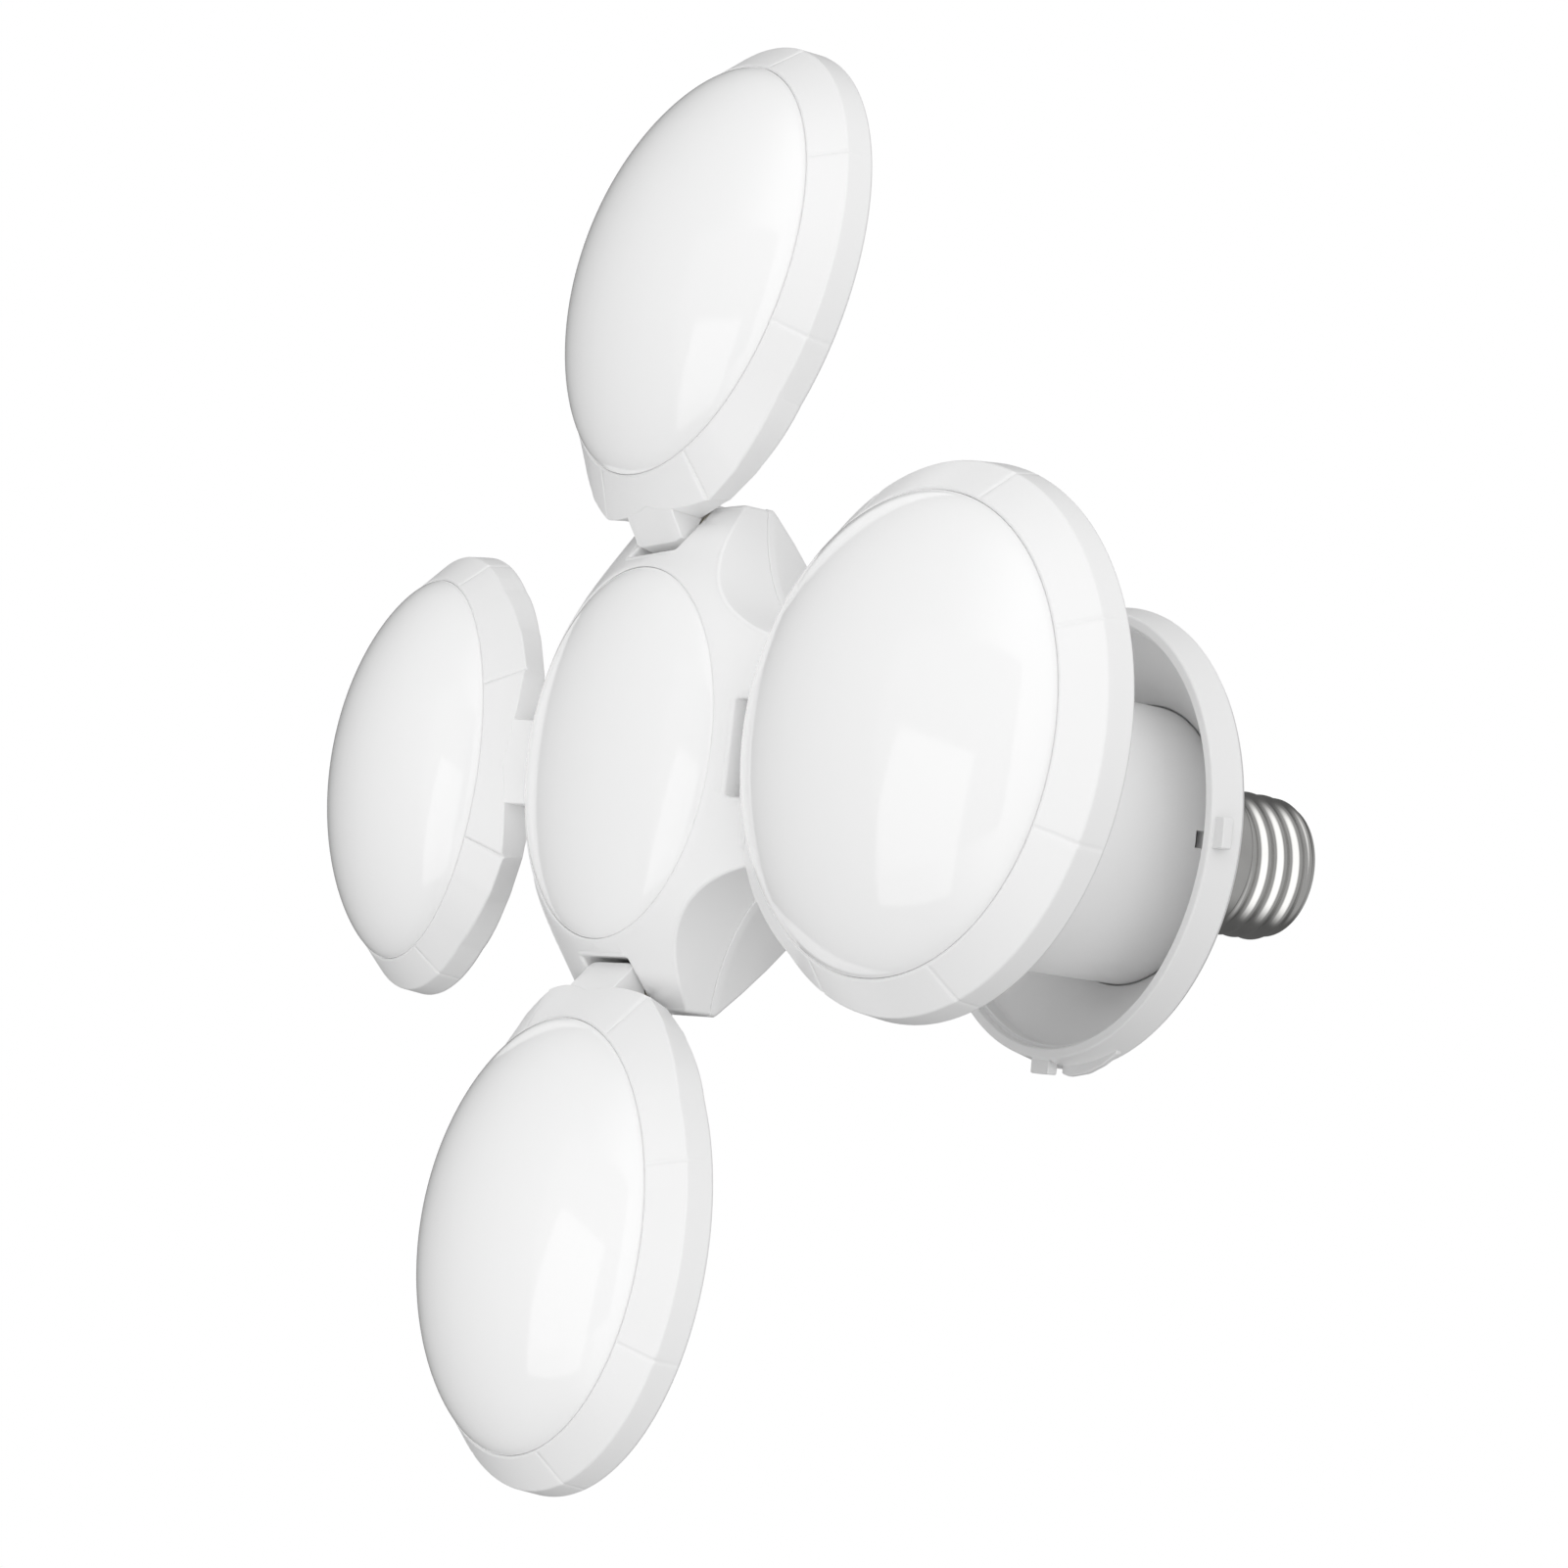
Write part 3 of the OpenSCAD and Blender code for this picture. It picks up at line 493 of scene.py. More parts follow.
class Shape:
    """Gathers rows of points, in millimetres, into one mesh."""

    def __init__(self):
        self.points, self.faces = [], []

    def add(self, points):
        """Adds points and says which number the first of them has."""
        start = len(self.points)
        self.points += [tuple(p) for p in points]
        return start

    def grid(self, rows, closed=True, wrap=False):
        """Faces between rows of equal length. Closed joins each row's ends, and wrap joins the
        last row to the first."""
        rows = [np.asarray(r, float) for r in rows]
        n = len(rows[0])
        starts = [self.add(r) for r in rows]
        pairs = list(zip(starts, starts[1:])) + ([(starts[-1], starts[0])] if wrap else [])
        for s0, s1 in pairs:
            for i in range(n if closed else n - 1):
                j = (i + 1) % n
                self.faces.append((s0 + i, s0 + j, s1 + j, s1 + i))

    def lathe(self, profile, turns=128, wrap=False):
        """Turns a profile of (radius, z) about the axis."""
        angles = np.linspace(0, 2 * math.pi, turns, endpoint=False)
        self.grid([circle(r, z, angles) for r, z in profile], wrap=wrap)

    def fill(self, outer, hole, inner, height):
        """Triangles between two plan loops, through inner points, at the height of each point."""
        points = [Vector(p[:2]) for loop in (outer, hole) for p in loop]
        edges, start = [], 0
        for loop in (outer, hole):
            edges += [(start + i, start + (i + 1) % len(loop)) for i in range(len(loop))]
            start += len(loop)
        points += [Vector(p) for p in inner]
        flat, _, faces, *_ = geometry.delaunay_2d_cdt(points, edges, [], 0, FILL_SLACK)
        base = self.add([(p.x, p.y, height(p.x, p.y)) for p in flat])
        for face in faces:
            mid = np.mean([flat[i] for i in face], 0)
            if inside(outer, mid) and not inside(hole, mid):
                self.faces.append(tuple(base + i for i in face))

    def mesh(self, name):
        """The mesh in metres, with welded points and faces that look outwards."""
        mesh = bpy.data.meshes.new(name)
        mesh.from_pydata([tuple(c * MM for c in p) for p in self.points], [], self.faces)
        bm = bmesh.new()
        bm.from_mesh(mesh)
        bmesh.ops.remove_doubles(bm, verts=bm.verts, dist=WELD)
        bmesh.ops.dissolve_degenerate(bm, edges=bm.edges, dist=SLIVER)
        bmesh.ops.recalc_face_normals(bm, faces=bm.faces)
        for face in bm.faces:
            face.smooth = True
        bm.to_mesh(mesh)
        bm.free()
        return mesh

    def piece(self, name, body, slot, *replaced):
        """One object of the mesh, which stands for CAD nodes."""
        place(self.mesh(name), name, body, slot, *replaced)


def place(mesh, name, body, slot, *replaced, at=None):
    """An object that rides a body, with soft shading. With at, it gets its own copy of the mesh,
    moved there."""
    if at is not None:
        mesh = mesh.copy()
        mesh.transform(at)
    obj = bpy.data.objects.new(name, mesh)
    bpy.context.scene.collection.objects.link(obj)
    soft = obj.modifiers.new("even_shading", "WEIGHTED_NORMAL")
    soft.keep_sharp = True
    soft.weight = 80
    if not mesh.materials:
        mesh.materials.append(LOOKS[slot])
    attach(obj, body)
    if replaced:
        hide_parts(*replaced)


def on_petals(mesh, kind, slot, node):
    """Copies a mesh in the petal's frame onto all four hinges, in place of the petals' CAD node."""
    for side in SIDES:
        turn = Matrix.Rotation(math.pi / 2 * SIDES.index(side), 4, "Z")
        fold = Matrix.Rotation(math.radians(-FOLDS[side]), 4, "Y")
        hinge = Matrix.Translation(Vector((HINGE_R, 0, HINGE_Z)) * MM)
        place(mesh, side + kind, side + "_petal", slot, side + node, at=turn @ hinge @ fold)


# ---------- diffusers ----------

def dome(r, h, top):
    """A dome's profile from its middle to its edge, flatter in the middle than a ball."""
    turns = [math.pi / 2 * i / DOME_ROWS for i in range(DOME_ROWS + 1)]
    profile = [(r * math.sin(a), top - h * max(math.cos(a), 0) ** DOME_POWER) for a in turns]
    return [(POLE_R, profile[0][1])] + profile[1:]


def milky_cap(r, h, edge_z, skirt_z):
    """A milky dome with its skirt, closed inside by a second dome."""
    inner_r = r - CAP_WALL
    outer = dome(r, h, edge_z)
    inner = dome(inner_r, h - CAP_FLATTER, edge_z + CAP_WALL - CAP_FLATTER)
    cap = Shape()
    cap.lathe(outer + [(r, skirt_z), (inner_r, skirt_z)] + inner[::-1], CAP_TURNS)
    return cap


def hub_lens():
    """The hub's diffuser."""
    cap = milky_cap(HUB_LENS_R, HUB_DOME_H, LENS_Z, LENS_Z + HUB_SKIRT_H)
    cap.piece("hub_lens", "lamp", "milky_plastic", "hub_diffuser")


def petal_lenses():
    """The petals' diffusers, each with a flange at the end of its skirt."""
    cap = milky_cap(PETAL_LENS_R, PETAL_DOME_H, -LENS_OFF, -FLANGE_OFF + SKIRT_END)
    inner_r, outer_r = PETAL_LENS_R - SKIRT_LAP, PETAL_LENS_R + SKIRT_REACH
    front_z, back_z = -FLANGE_OFF + SKIRT_FRONT, -FLANGE_OFF + SKIRT_BACK
    flange = [(inner_r, front_z), (outer_r, front_z), (outer_r, back_z), (inner_r, back_z)]
    cap.lathe(flange, wrap=True)
    cap.points = [(x + PETAL_ARM, y, z) for x, y, z in cap.points]
    on_petals(cap.mesh("petal_lens"), "_lens", "milky_plastic", "_petal_diffuser")


# ---------- petal frames ----------

def petal_plan():
    """Half of the petal's plan, as angles from the hinge and radii of the bevel's outer edge, and
    the angle at which the shoulder has run into the ring."""
    lean = math.degrees(math.acos(BEVEL_R / math.hypot(SHOULDER_A, SHOULDER_T)))
    full_at, full_r = CORNER_AT + lean / 2, BEVEL_R + SHOULDER_FULL
    meet = full_at + math.degrees(math.acos(BEVEL_R / full_r))
    past = meet + 6
    run = rounded([(SHOULDER_A, 0), (SHOULDER_A, SHOULDER_T, CORNER_ROLL),
                   (*polar(full_r, full_at), SHOULDER_ROLL),
                   (*polar(BEVEL_R, meet), SHOULDER_ROLL), polar(BEVEL_R, past)], 8)
    return np.degrees(np.arctan2(run[:, 1], run[:, 0])), np.hypot(run[:, 0], run[:, 1]), meet


def ring_angles(plan_angles):
    """Angles of the ring's sections, closer together at the grooves and along the shoulder."""
    steps = set(np.round(np.arange(0, 180.01, SECTION_STEP), 3))
    for groove in GROOVES:
        steps -= {a for a in steps if abs(a - groove) < GROOVE_CLEAR}
        steps |= {round(groove + row, 3) for row in GROOVE_ROWS}
    low, high = CLOSER_SPAN
    steps |= {round(float(a), 3) for a in plan_angles if low < a < high}
    half = sorted(steps)
    return np.array([-a for a in half[::-1] if 0 < a < 180] + half)


def bevel_edge_z(a, reach, meet):
    """The level of the bevel's outer edge at an angle: on the shoulder's cone up to its corner, on
    a ramp from there, and on the ring's bevel after that."""
    if a < CORNER_AT:
        return -LENS_OFF + SHOULDER_SLOPE * (reach - LIP_R)
    if a > meet:
        return -LENS_OFF + RING_SLOPE * (reach - LIP_R)
    return CORNER_Z + (-BEVEL_OFF - CORNER_Z) * (a - CORNER_AT) / (meet - CORNER_AT)


def ring_section(reach, edge_z, rear_r, on_ring):
    """The ring's closed section as (radius, z): lens hole, lip, bevel, side, cover seat, flange."""
    hole_r, seat_z = PETAL_LENS_R + LENS_GAP, -REAR_OFF - SEAT_DEPTH
    start = (PETAL_LENS_R + LEDGE_W, -FLANGE_OFF)
    corners = [start, (hole_r, -FLANGE_OFF, 0.1), (hole_r, -LENS_OFF + HOLE_EDGE, 0.1),
               (LIP_R, -LENS_OFF, EDGE_ROLL), (reach, edge_z, EDGE_ROLL + 0.5 * on_ring),
               (rear_r, -REAR_OFF, EDGE_ROLL + 0.25 * on_ring), (SEAT_R, -REAR_OFF, 0.2),
               (SEAT_R, seat_z), (FLANGE_R, seat_z), (FLANGE_R, -FLANGE_OFF), start]
    return rounded(corners, 5)[:-1]


def grooved(section, a, edge_z):
    """A section at an angle, with its bevel sunk where it lies in a groove."""
    deep = sum(math.exp(-((a - g) / GROOVE_HALF) ** 2) for g in GROOVES) * GROOVE_DEPTH
    if deep <= 1e-3:
        return section
    r, z = section.T
    on_bevel = smooth(LIP_R + 0.1, LIP_R + 0.5, r) * (z < edge_z + 0.5) * (z < GROOVE_BACK_Z)
    return np.column_stack([r - deep * GROOVE_LEAN * on_bevel, z + deep * on_bevel])


def petal_ring(shape):
    """The ring: one rolled section, swept round the diffuser, whose bevel, draft and reach change."""
    plan_a, plan_r, meet = petal_plan()
    rows = []
    for angle in ring_angles(plan_a):
        a = abs(angle)
        reach = float(np.interp(a, plan_a, plan_r)) if a < plan_a[-1] else BEVEL_R
        on_ring = float(smooth(RING_FROM, meet, a))
        lean = SHOULDER_LEAN * float(smooth(*LEAN_SPAN, a)) * (1 - on_ring)
        drawn = SIDE_DRAFT * on_ring - lean
        edge_z = bevel_edge_z(a, reach, meet)
        section = grooved(ring_section(reach, edge_z, reach + drawn, on_ring), a, edge_z)
        r, z = section.T
        turn = math.radians(180 + angle)
        rows.append(np.column_stack([PETAL_ARM + r * math.cos(turn), r * math.sin(turn), z]))
    shape.grid(rows, wrap=True)


def tongue_profile():
    """The tongue's section around the pin: its root, the barrel, and a front that runs out flush
    with the shoulder's edge."""
    (root_u, root_z), (end_u, end_z) = TONGUE_ROOT, TONGUE_END
    edge_u = PETAL_ARM - SHOULDER_A
    slope = (LENS_OFF - SHOULDER_SLOPE * (SHOULDER_A - LIP_R) + end_z) / (edge_u - end_u)
    front = [(end_u, end_z, 0.35), (root_u, end_z - slope * (root_u - end_u), 0.1)]
    barrel = [polar(BARREL_R, a) for a in BARREL_ANGLES]
    run = rounded([TONGUE_ROOT] + barrel + front + [TONGUE_ROOT], 5)
    return subdivided(run[:-1], TONGUE_STEP)


def tongue_row(flat, w, by):
    """One row of the tongue, at w along the pin: kept behind the shoulder's cone, by more on a
    rolled end, and with its front corners tucked in."""
    u, z = flat.T
    half, edge_u = TONGUE_W / 2, PETAL_ARM - SHOULDER_A
    cone = by - LENS_OFF - TONGUE_GAP + SHOULDER_SLOPE * (np.hypot(PETAL_ARM - u, w) - LIP_R)
    cone = cone + TONGUE_SINK * smooth(edge_u + 0.9, TONGUE_ROOT[0], u)
    blend = CONE_BLEND * smooth(-REAR_OFF - 1, -REAR_OFF - 3, z)
    z = (z + cone + np.sqrt((z - cone) ** 2 + blend ** 2)) / 2
    at_end = smooth(half - TONGUE_TUCK_W, half, abs(w)) ** 2
    ends = at_end * smooth(1, -2.5, u) * smooth(-0.6, -3, z)
    return np.column_stack([u + TONGUE_TUCK * ends, np.full(len(flat), w), z])


def petal_tongue(shape):
    """The tongue: its profile along the pin with rolled ends, a bore, and washer recesses."""
    half = TONGUE_W / 2
    profile = tongue_profile()
    out = profile / np.linalg.norm(profile, axis=1, keepdims=True)
    end = [(out * BORE_R, RECESS_W * 0.1, 0), (out * BORE_R, RECESS_W, 0),
           (out * RECESS_R, RECESS_W, 0), (out * RECESS_R, half, 0)]
    end += [(inset(profile, by), half - drop, by) for by, drop in rolled_rim(TONGUE_ROLL, 5)]
    between = np.linspace(half - TONGUE_ROLL, TONGUE_ROLL - half, 13)[1:-1]
    rows = end + [(profile, w, 0) for w in between] + [(flat, -w, by) for flat, w, by in end[::-1]]
    shape.grid([tongue_row(*row) for row in rows], wrap=True)


def petal_frames():
    """The petals' frames: ring and tongue in one mesh."""
    shape = Shape()
    petal_ring(shape)
    petal_tongue(shape)
    on_petals(shape.mesh("petal_ring"), "_ring", "shell_plastic", "_petal_frame")


# ---------- hub ----------

def hub_side(half, scallop, corner, notch):
    """The hub's plan on one side, from the middle of one scallop to the middle of the next."""
    middle, arc_steps = SCALLOP_AT / math.sqrt(2), 14
    corner_y = middle - math.sqrt(scallop ** 2 - (middle - half) ** 2)
    start, end = math.atan2(corner_y - middle, half - middle), math.radians(-135)
    turns = [start + (end - start) * i / arc_steps for i in range(1, arc_steps + 1)]
    arc = [(middle + scallop * math.cos(t), middle + scallop * math.sin(t)) for t in turns]
    edge = NOTCH_W / 2
    inner = [(NOTCH_IN, edge, 0.35), (half, edge, 0.5)] if notch else [(half, edge)]
    flat = [(half, edge + (corner_y - edge) * share) for share in (1 / 3, 2 / 3)]
    top = inner + flat + [(half, corner_y, corner)] + arc
    bottom = [(x, -y, *r) for x, y, *r in top[::-1]]
    return rounded(bottom + top, 6)[:-1]


def hub_loop(half, scallop, corner, notch):
    """The hub's whole plan, counter-clockwise."""
    side = hub_side(half, scallop, corner, notch)
    return np.vstack([side @ quarter(k) for k in range(4)])


def hub_front_z(x, y):
    """The hub's front: a cone that rounds off into the nose around the hinge line at each flat."""
    cone = CONE_EDGE_Z + CONE_SLOPE * (math.hypot(x, y) - HUB_HOLE_R)
    across = max(abs(x), abs(y)) - HINGE_R
    nose = HINGE_Z - math.sqrt(max(NOSE_R ** 2 - max(across, 0) ** 2, 0))
    if nose <= cone:
        return cone
    return cone + (nose - cone) * float(smooth(*NOSE_BLEND, across))


def face_points(limit, least_r, angles):
    """Points spread over the hub's front, in rings and closer together along the hinge lines."""
    rings = np.arange(*FACE_RINGS, FACE_STEP)
    points = [(r * math.cos(a), r * math.sin(a)) for r in rings for a in angles]
    along = np.arange(-NOSE_HALF_W, NOSE_HALF_W + 0.1, NOSE_STEP)
    for across in NOSE_ROWS:
        points += [np.array([HINGE_R + across, w]) @ quarter(k) for w in along for k in range(4)]
    return [p for p in points if inside(limit, p) and math.hypot(*p) > least_r]


def hub_front():
    """The front housing: its wall from the seam to the rolled edge, its front, and the hole."""
    loop = hub_loop(HUB_HALF, SCALLOP_R, HUB_CORNER, True)
    edge = inset(loop, HUB_ROLL)
    edge_z = np.array([hub_front_z(*p) for p in edge])
    seam = [(0.05, PARTING_Z), (0, PARTING_Z - 0.05), (0, PARTING_Z - 0.2)]
    rows = [lift(inset(loop, by), z) for by, z in seam]
    for up, by in rolled_rim(HUB_ROLL, 6):
        rows.append(lift(inset(loop, by), np.minimum(edge_z + up, PARTING_Z - 0.5)))
    shape = Shape()
    shape.grid(rows)

    rim_r = HUB_HOLE_R + HOLE_ROLL
    angles = np.radians(np.arange(0, 360, 2.5))
    rim = circle(rim_r, 0, angles)[:, :2]
    inner = face_points(inset(loop, HUB_ROLL + FACE_MARGIN), rim_r + RIM_MARGIN, angles)
    shape.fill(edge, rim, inner, hub_front_z)

    front, hole_r = hub_front_z(rim_r, 0), HUB_LENS_R + LENS_GAP
    step_z = LENS_Z + HOLE_STEP_H
    shape.lathe(rounded([(rim_r, front), (hole_r, front - 0.05, 0.15), (hole_r, LENS_Z + HOLE_BEND_H),
                         (hole_r, step_z), (HUB_HOLE_R - HOLE_STEP_W, step_z)], 3), len(angles))
    shape.piece("hub_face", "lamp", "shell_plastic", "hub_front_housing")


def rear_loop(z):
    """The rear housing's plan at a level: it tapers to the column, its scallops later than its
    flats."""
    taper = max(0, (z - TAPER_Z) / (COLUMN_Z - TAPER_Z))
    deep = ((z - PARTING_Z) / (COLUMN_Z - PARTING_Z)) ** SCALLOP_POWER
    loop = hub_loop(HUB_HALF + (REAR_TOP_HALF - HUB_HALF) * taper,
                    SCALLOP_R + (REAR_TOP_SCALLOP - SCALLOP_R) * deep,
                    HUB_CORNER + (REAR_TOP_CORNER - HUB_CORNER) * taper, False)
    return inset(loop, -PROUD)


def hub_rear():
    """The rear housing: seam, taper, rolled end, and the arch of a trough at each hinge."""
    shape = Shape()
    trough_r = BARREL_R + TROUGH_GAP
    mouth_z = HINGE_Z + math.sqrt(trough_r ** 2 - (HUB_HALF - HINGE_R) ** 2)
    seam = [(PROUD + 0.1, PARTING_Z), (0.06, PARTING_Z), (0, PARTING_Z + 0.08), (0, PARTING_Z + 0.3)]
    rows = []
    for by, z in seam:
        loop = inset(rear_loop(z), by)
        across, out = np.min(np.abs(loop), axis=1), np.max(np.abs(loop), axis=1)
        at_notch = (across <= NOTCH_W / 2 + 0.01) & (out > HINGE_R)
        rows.append(lift(loop, np.where(at_notch, max(mouth_z, z), z)))
    for z in [TAPER_Z + up for up in TAPER_ROWS] + [COLUMN_Z - REAR_ROLL]:
        rows.append(lift(rear_loop(z), z))
    top = rear_loop(COLUMN_Z)
    outwards = top / np.linalg.norm(top, axis=1, keepdims=True)
    for drop, by in rolled_rim(REAR_ROLL, 4)[1:]:
        rows.append(lift(top - by * outwards, COLUMN_Z - drop))
    rows.append(lift(REAR_END_R * outwards, COLUMN_Z))
    shape.grid(rows)

    start = math.acos((HUB_HALF - HINGE_R) / trough_r)
    end = math.pi - math.asin((PARTING_Z - HINGE_Z) / trough_r)
    turns = [start + (end - start) * i / 12 for i in range(13)]
    for k in range(4):
        arch = []
        for t in turns:
            x, z = HINGE_R + trough_r * math.cos(t), HINGE_Z + trough_r * math.sin(t)
            arch.append(lift(np.array([(x, -NOTCH_W / 2), (x, NOTCH_W / 2)]) @ quarter(k), z))
        shape.grid(arch, closed=False)
    shape.piece("hub_back", "lamp", "shell_plastic", "hub_rear_housing")


# ---------- dish and base ----------

def slab(shape, loop, z0, z1, roll, k):
    """An outline with rolled rims between two levels, turned by k quarters about the axis."""
    flat = loop @ quarter(k)
    front = [lift(inset(flat, by), z0 + drop) for by, drop in rolled_rim(roll, 4)]
    back = [lift(inset(flat, by), z1 - drop) for by, drop in rolled_rim(roll, 4)]
    rows = front + back[::-1]
    shape.grid(rows)
    for row in (rows[0], rows[-1]):
        start = shape.add(row)
        shape.faces.append(tuple(range(start, start + len(row))))


def catch(shape, k):
    """A square tab on the rim's front and the thin ear behind it."""
    out, foot = DISH_FRONT_R + TAB_REACH, DISH_FRONT_R - 0.5
    low = -TAB_SIDE - TAB_SHIFT[SIDES[k]]
    high = low + TAB_W
    tab = rounded([(foot, low), (out, low, 0.35), (out, high, 0.35), (foot, high)], 3)
    slab(shape, tab, TAB_Z, TAB_Z + TAB_T, 0.25, k)
    out -= EAR_WORN[SIDES[k]]
    ear = rounded([(DISH_FRONT_R - 3.9, -14), (out - 4.8, -16.8, 0.5), (out - 2.4, -12.6, 6),
                   (out - 0.8, -8.5, 6), (out, -TAB_SIDE - 2.2, 3),
                   (out - 0.4, -TAB_SIDE - 0.2, 0.5), (DISH_FRONT_R - 1, -TAB_SIDE - 0.2)], 4)
    ear_z = TAB_Z + TAB_T + EAR_GAP
    slab(shape, ear, ear_z, ear_z + EAR_T, 0.3, k)


def dish():
    """The rear dish: cup, rim, back and neck in one profile, with four catches on its rim."""
    rim_back, groove_r = RIM_Z + RIM_H, COLUMN_R + FOOT_GROOVE
    cup = [(FLOOR_HOLE_R, FLOOR_Z + 1), (groove_r, FLOOR_Z + 1), (groove_r, FLOOR_Z - 0.1, 0.1),
           (CUP_EDGE_R, RIM_Z + CUP_EDGE_H, 1.2)]
    rim = [(DISH_INNER_R - STEP_W, RIM_Z + STEP_H, 0.25), (DISH_INNER_R, RIM_Z + STEP_H, 0.2),
           (DISH_INNER_R, RIM_Z, 0.35), (DISH_FRONT_R, RIM_Z, 0.5), (DISH_R, rim_back, 0.5),
           (DISH_R - 0.7, rim_back + 0.9, 0.6)]
    back = [(COLUMN_R + 0.7, FLOOR_Z + 2.2, 6), (BACK_FOOT_R, -1.8, 2),
            (COLLAR_SEAT_R, -0.6, 0.4), (COLLAR_SEAT_R, 0, 0.2)]
    neck = [(NECK_R, 0), (NECK_R, NECK_H)]
    shape = Shape()
    shape.lathe(rounded(cup + rim + back + neck, 5), 160)
    for k in range(4):
        catch(shape, k)
    shape.piece("dish", "lamp", "dish_plastic", "rear_dish")


def shell():
    """The metal shell: a smooth collar and a rolled thread that winds as one helix."""
    angles = np.linspace(0, 2 * math.pi, 120, endpoint=False)
    collar = [(COLLAR_R - 0.4, 0), (COLLAR_R - 0.1, 0), (COLLAR_R, 0.12), (COLLAR_R, COLLAR_H - 0.5),
              (COLLAR_R - 0.1, COLLAR_H - 0.15)]
    rows = [circle(r, z, angles) for r, z in collar]
    for z in np.linspace(COLLAR_H, SHELL_TOP - 0.2, THREAD_ROWS):
        phase = 2 * math.pi * (z - THREAD_Z) / PITCH - angles
        begun = smooth(COLLAR_H, COLLAR_H + THREAD_FADE, z)
        fade = begun * smooth(SHELL_TOP, SHELL_TOP - 1.5, z)
        thread = THREAD_ROOT + THREAD_DEPTH * (0.5 - 0.5 * np.cos(phase)) * fade
        rows.append(circle(thread + 0.5 * (1 - begun), z, angles))
    top, lip_r = SHELL_TOP + SHELL_RISE, THREAD_ROOT - SHELL_LIP
    end = rounded([(THREAD_ROOT, SHELL_TOP), (THREAD_ROOT, top, 0.35), (lip_r, top),
                   (lip_r, SHELL_TOP)], 4)
    rows += [circle(r, z, angles) for r, z in end]
    shape = Shape()
    shape.grid(rows)
    shape.piece("screw_shell", "lamp", "base_metal", "base_shell")


def insulator():
    """The insulating disc, which narrows from the shell to the contact."""
    shell_r = THREAD_ROOT - 2
    shape = Shape()
    shape.lathe(rounded([(DISC_HOLE_R, SHELL_TOP), (shell_r, SHELL_TOP),
                         (shell_r, SHELL_TOP + 0.5, 0.2), (shell_r - 0.8, SHELL_TOP + 1, 0.5),
                         (BUTTON_R + 0.6, DISC_TOP, 0.6), (DISC_HOLE_R, DISC_TOP)], 4))
    shape.piece("insulating_disc", "lamp", "insulator", "base_insulator")


def contact():
    """The centre contact: a button with a domed top."""
    stem_r, top = DISC_HOLE_R - 0.1, DISC_TOP + 1.5
    shape = Shape()
    shape.lathe(rounded([(stem_r, DISC_TOP - 1), (stem_r, DISC_TOP), (BUTTON_R, DISC_TOP, 0.1),
                         (BUTTON_R, DISC_TOP + 0.4, 0.2), (3.4, top - 0.3, 0.8), (2.0, top, 1.5),
                         (POLE_R, top)], 4), 64)
    shape.piece("contact_button", "lamp", "contact_metal", "base_contact")


# ---------- stage, light and camera ----------

def stage_floor():
    """A pale floor far below the lamp."""
    mesh = bpy.data.meshes.new("floor")
    corners = [(-1, -1), (1, -1), (1, 1), (-1, 1)]
    mesh.from_pydata([(x * STAGE_HALF, y * STAGE_HALF, STAGE_Z) for x, y in corners],
                     [], [(0, 1, 2, 3)])
    obj = bpy.data.objects.new("floor", mesh)
    bpy.context.scene.collection.objects.link(obj)
    mat = principled("floor_paint", (0.86, 0.86, 0.86), 0.9)
    ramp(mat, noise(mat, FLOOR_DRIFT), "Roughness", 0.85, 0.95)
    obj.data.materials.append(mat)


def joined(tree, operation, a, b):
    """Two outputs, or an output and a number, through one operation."""
    node = tree.nodes.new("ShaderNodeMath")
    node.operation = operation
    tree.links.new(a, node.inputs[0])
    if isinstance(b, float):
        node.inputs[1].default_value = b
    else:
        tree.links.new(b, node.inputs[1])
    return node.outputs[0]


def mixed(tree, share, a, b):
    """Output a, and output or number b where the share is 1."""
    node = tree.nodes.new("ShaderNodeMix")
    tree.links.new(share, node.inputs["Factor"])
    tree.links.new(a, node.inputs["A"])
    if isinstance(b, float):
        node.inputs["B"].default_value = b
    else:
        tree.links.new(b, node.inputs["B"])
    return node.outputs["Result"]


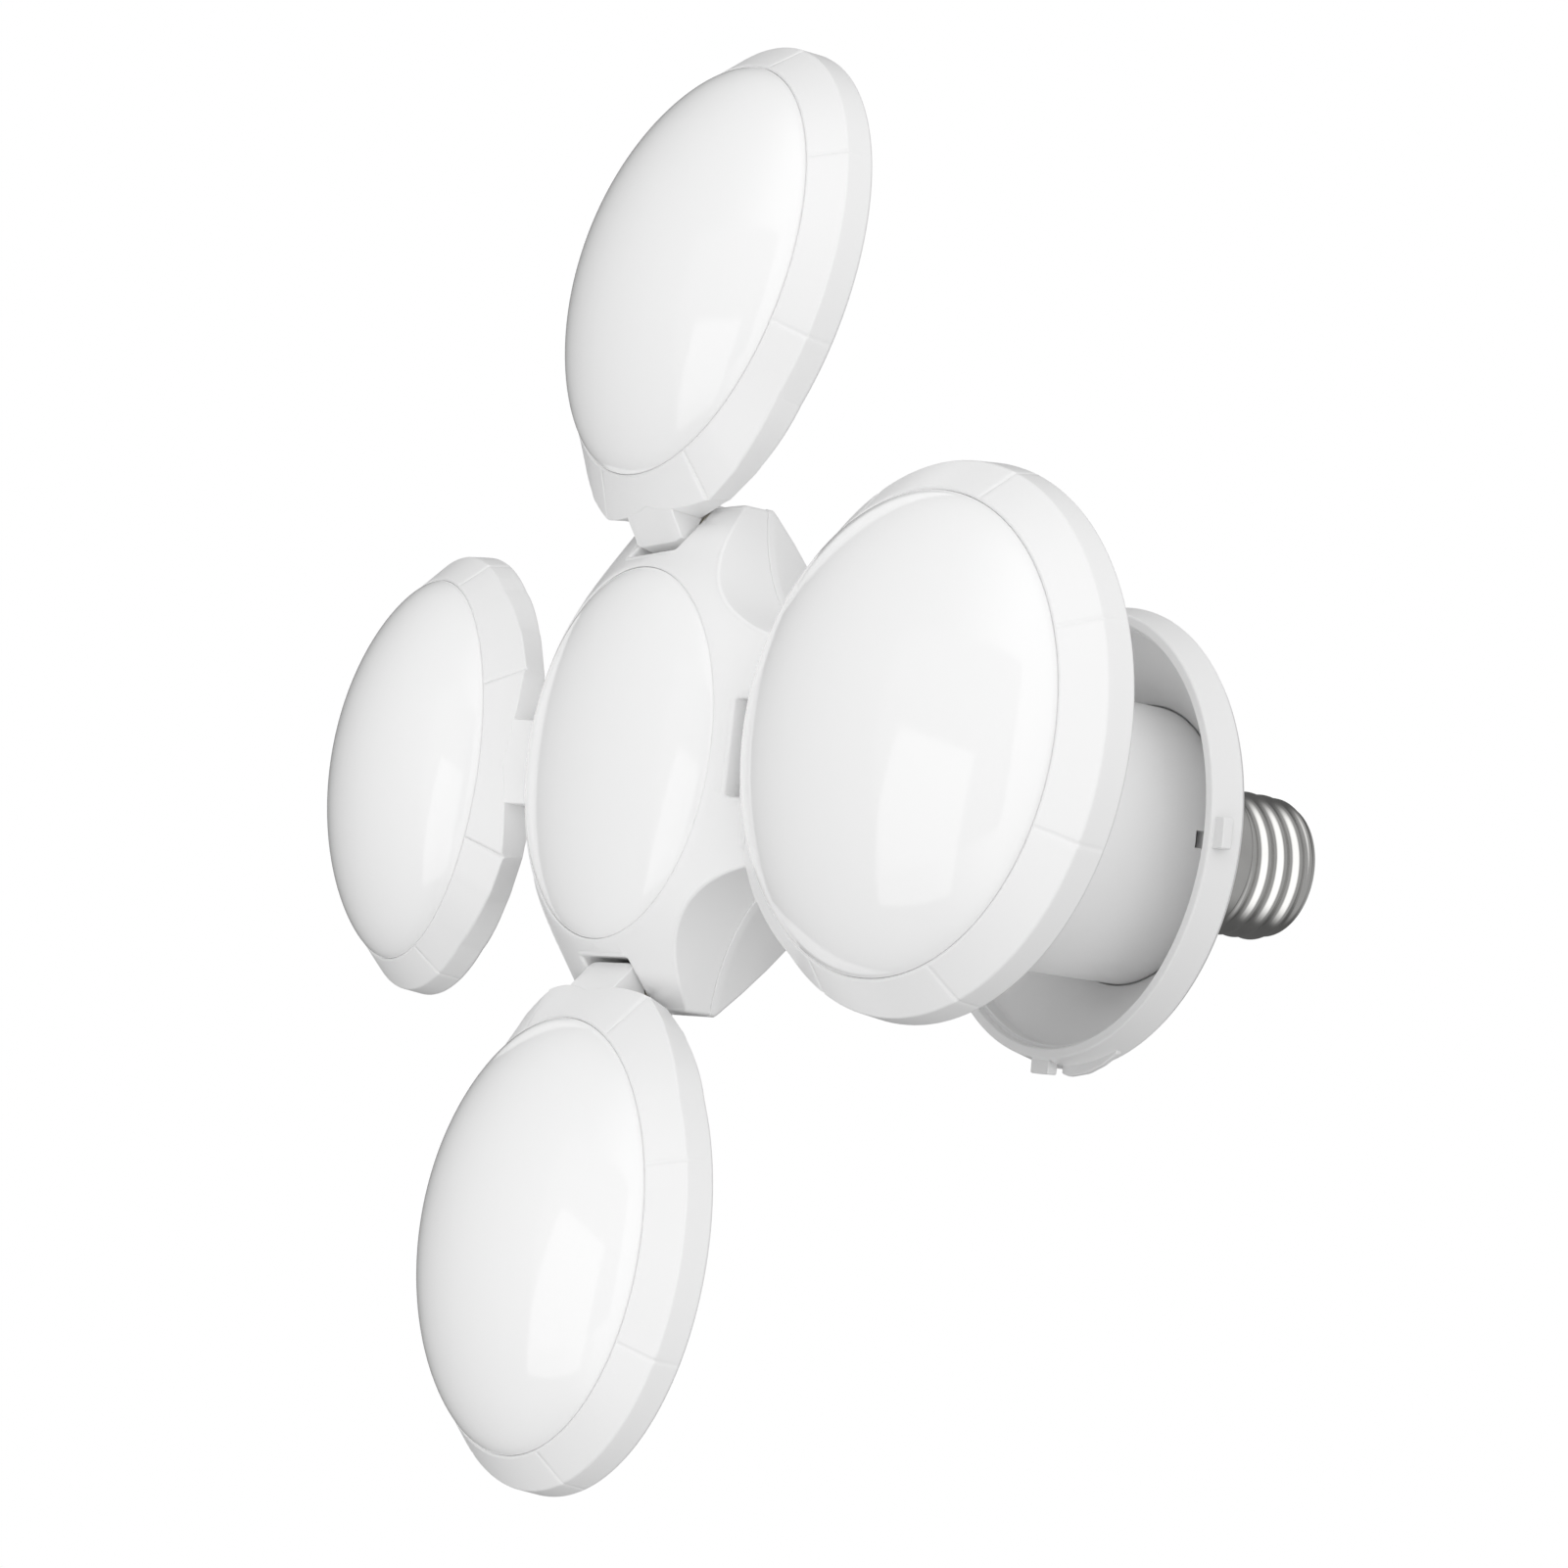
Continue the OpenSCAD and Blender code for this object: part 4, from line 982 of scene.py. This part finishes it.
def world_light():
    """White where the camera or glass sees it. For plain surfaces it grows from behind to KEY_SIDE
    and is darker at SHADE_SIDE; for glossy rays it is a dim room with a strip light on the
    camera's side."""
    world = bpy.data.worlds.new("studio")
    bpy.context.scene.world = world
    world.use_nodes = True
    tree = world.node_tree
    back = tree.nodes["Background"]
    back.inputs["Color"].default_value = (1, 1, 1, 1)
    coords = tree.nodes.new("ShaderNodeTexCoord")

    def level(side, edge, levels, interpolation="SMOOTHSTEP"):
        """Goes through the levels where the facing of a side goes through the edge."""
        facing = tree.nodes.new("ShaderNodeVectorMath")
        facing.operation = "DOT_PRODUCT"
        facing.inputs[1].default_value = Vector(side).normalized()
        tree.links.new(coords.outputs["Generated"], facing.inputs[0])
        node = tree.nodes.new("ShaderNodeMapRange")
        node.interpolation_type = interpolation
        node.inputs["From Min"].default_value, node.inputs["From Max"].default_value = edge
        node.inputs["To Min"].default_value, node.inputs["To Max"].default_value = levels
        tree.links.new(facing.outputs["Value"], node.inputs["Value"])
        return node.outputs["Result"]

    room = joined(tree, "ADD", level(KEY_SIDE, (-1, 1), WORLD_LEVELS, "LINEAR"),
                  level(SHADE_SIDE, SHADE_EDGE, (0, SHADE_LEVEL)))
    strip = joined(tree, "MULTIPLY", level(STRIP_SIDE, STRIP_REACH, (0, 1)),
                   level(STRIP_FRONT, STRIP_EDGE, STRIP_LEVELS))
    path = tree.nodes.new("ShaderNodeLightPath")
    seen = joined(tree, "MAXIMUM", path.outputs["Is Camera Ray"], path.outputs["Is Transmission Ray"])
    unseen = mixed(tree, path.outputs["Is Glossy Ray"], room, joined(tree, "ADD", strip, DIM_LEVEL))
    tree.links.new(mixed(tree, seen, unseen, 1.0), back.inputs["Strength"])


def softbox():
    """The studio's rectangular light, which faces the lamp's middle from BOX_SIDE."""
    light = bpy.data.lights.new("side_box", "AREA")
    light.shape = "RECTANGLE"
    light.size, light.size_y = BOX_SIZE
    light.energy = BOX_POWER
    obj = bpy.data.objects.new("side_box", light)
    bpy.context.scene.collection.objects.link(obj)
    back = Vector(BOX_SIDE).normalized()
    side = Vector(BOX_UP).cross(back).normalized()
    rot = Matrix((side, back.cross(side), back)).transposed().to_4x4()
    obj.matrix_world = Matrix.Translation(MIDDLE + back * BOX_AWAY) @ rot


def photo_camera():
    """The camera from which the photo was taken."""
    data = bpy.data.cameras.new("photo")
    data.sensor_width = SENSOR
    data.lens = SENSOR * FOCAL_PX / PHOTO_PX
    data.shift_x = (PHOTO_PX / 2 - CENTRE_PX[0]) / PHOTO_PX
    data.shift_y = (CENTRE_PX[1] - PHOTO_PX / 2) / PHOTO_PX
    data.clip_start, data.clip_end = 0.01, 100
    cam = bpy.data.objects.new("photo", data)
    bpy.context.scene.collection.objects.link(cam)
    rows = (Vector(CAMERA_RIGHT), -Vector(CAMERA_DOWN), -Vector(CAMERA_AHEAD))
    rot = Matrix(rows).transposed().to_4x4()
    cam.matrix_world = Matrix.Translation(Vector(CAMERA_AT) * MM) @ rot
    bpy.context.scene.camera = cam


dress_cad()
petal_frames()
petal_lenses()
hub_front()
hub_rear()
hub_lens()
dish()
shell()
insulator()
contact()
stage_floor()
world_light()
softbox()
photo_camera()
bpy.context.scene.view_settings.view_transform = "Standard"
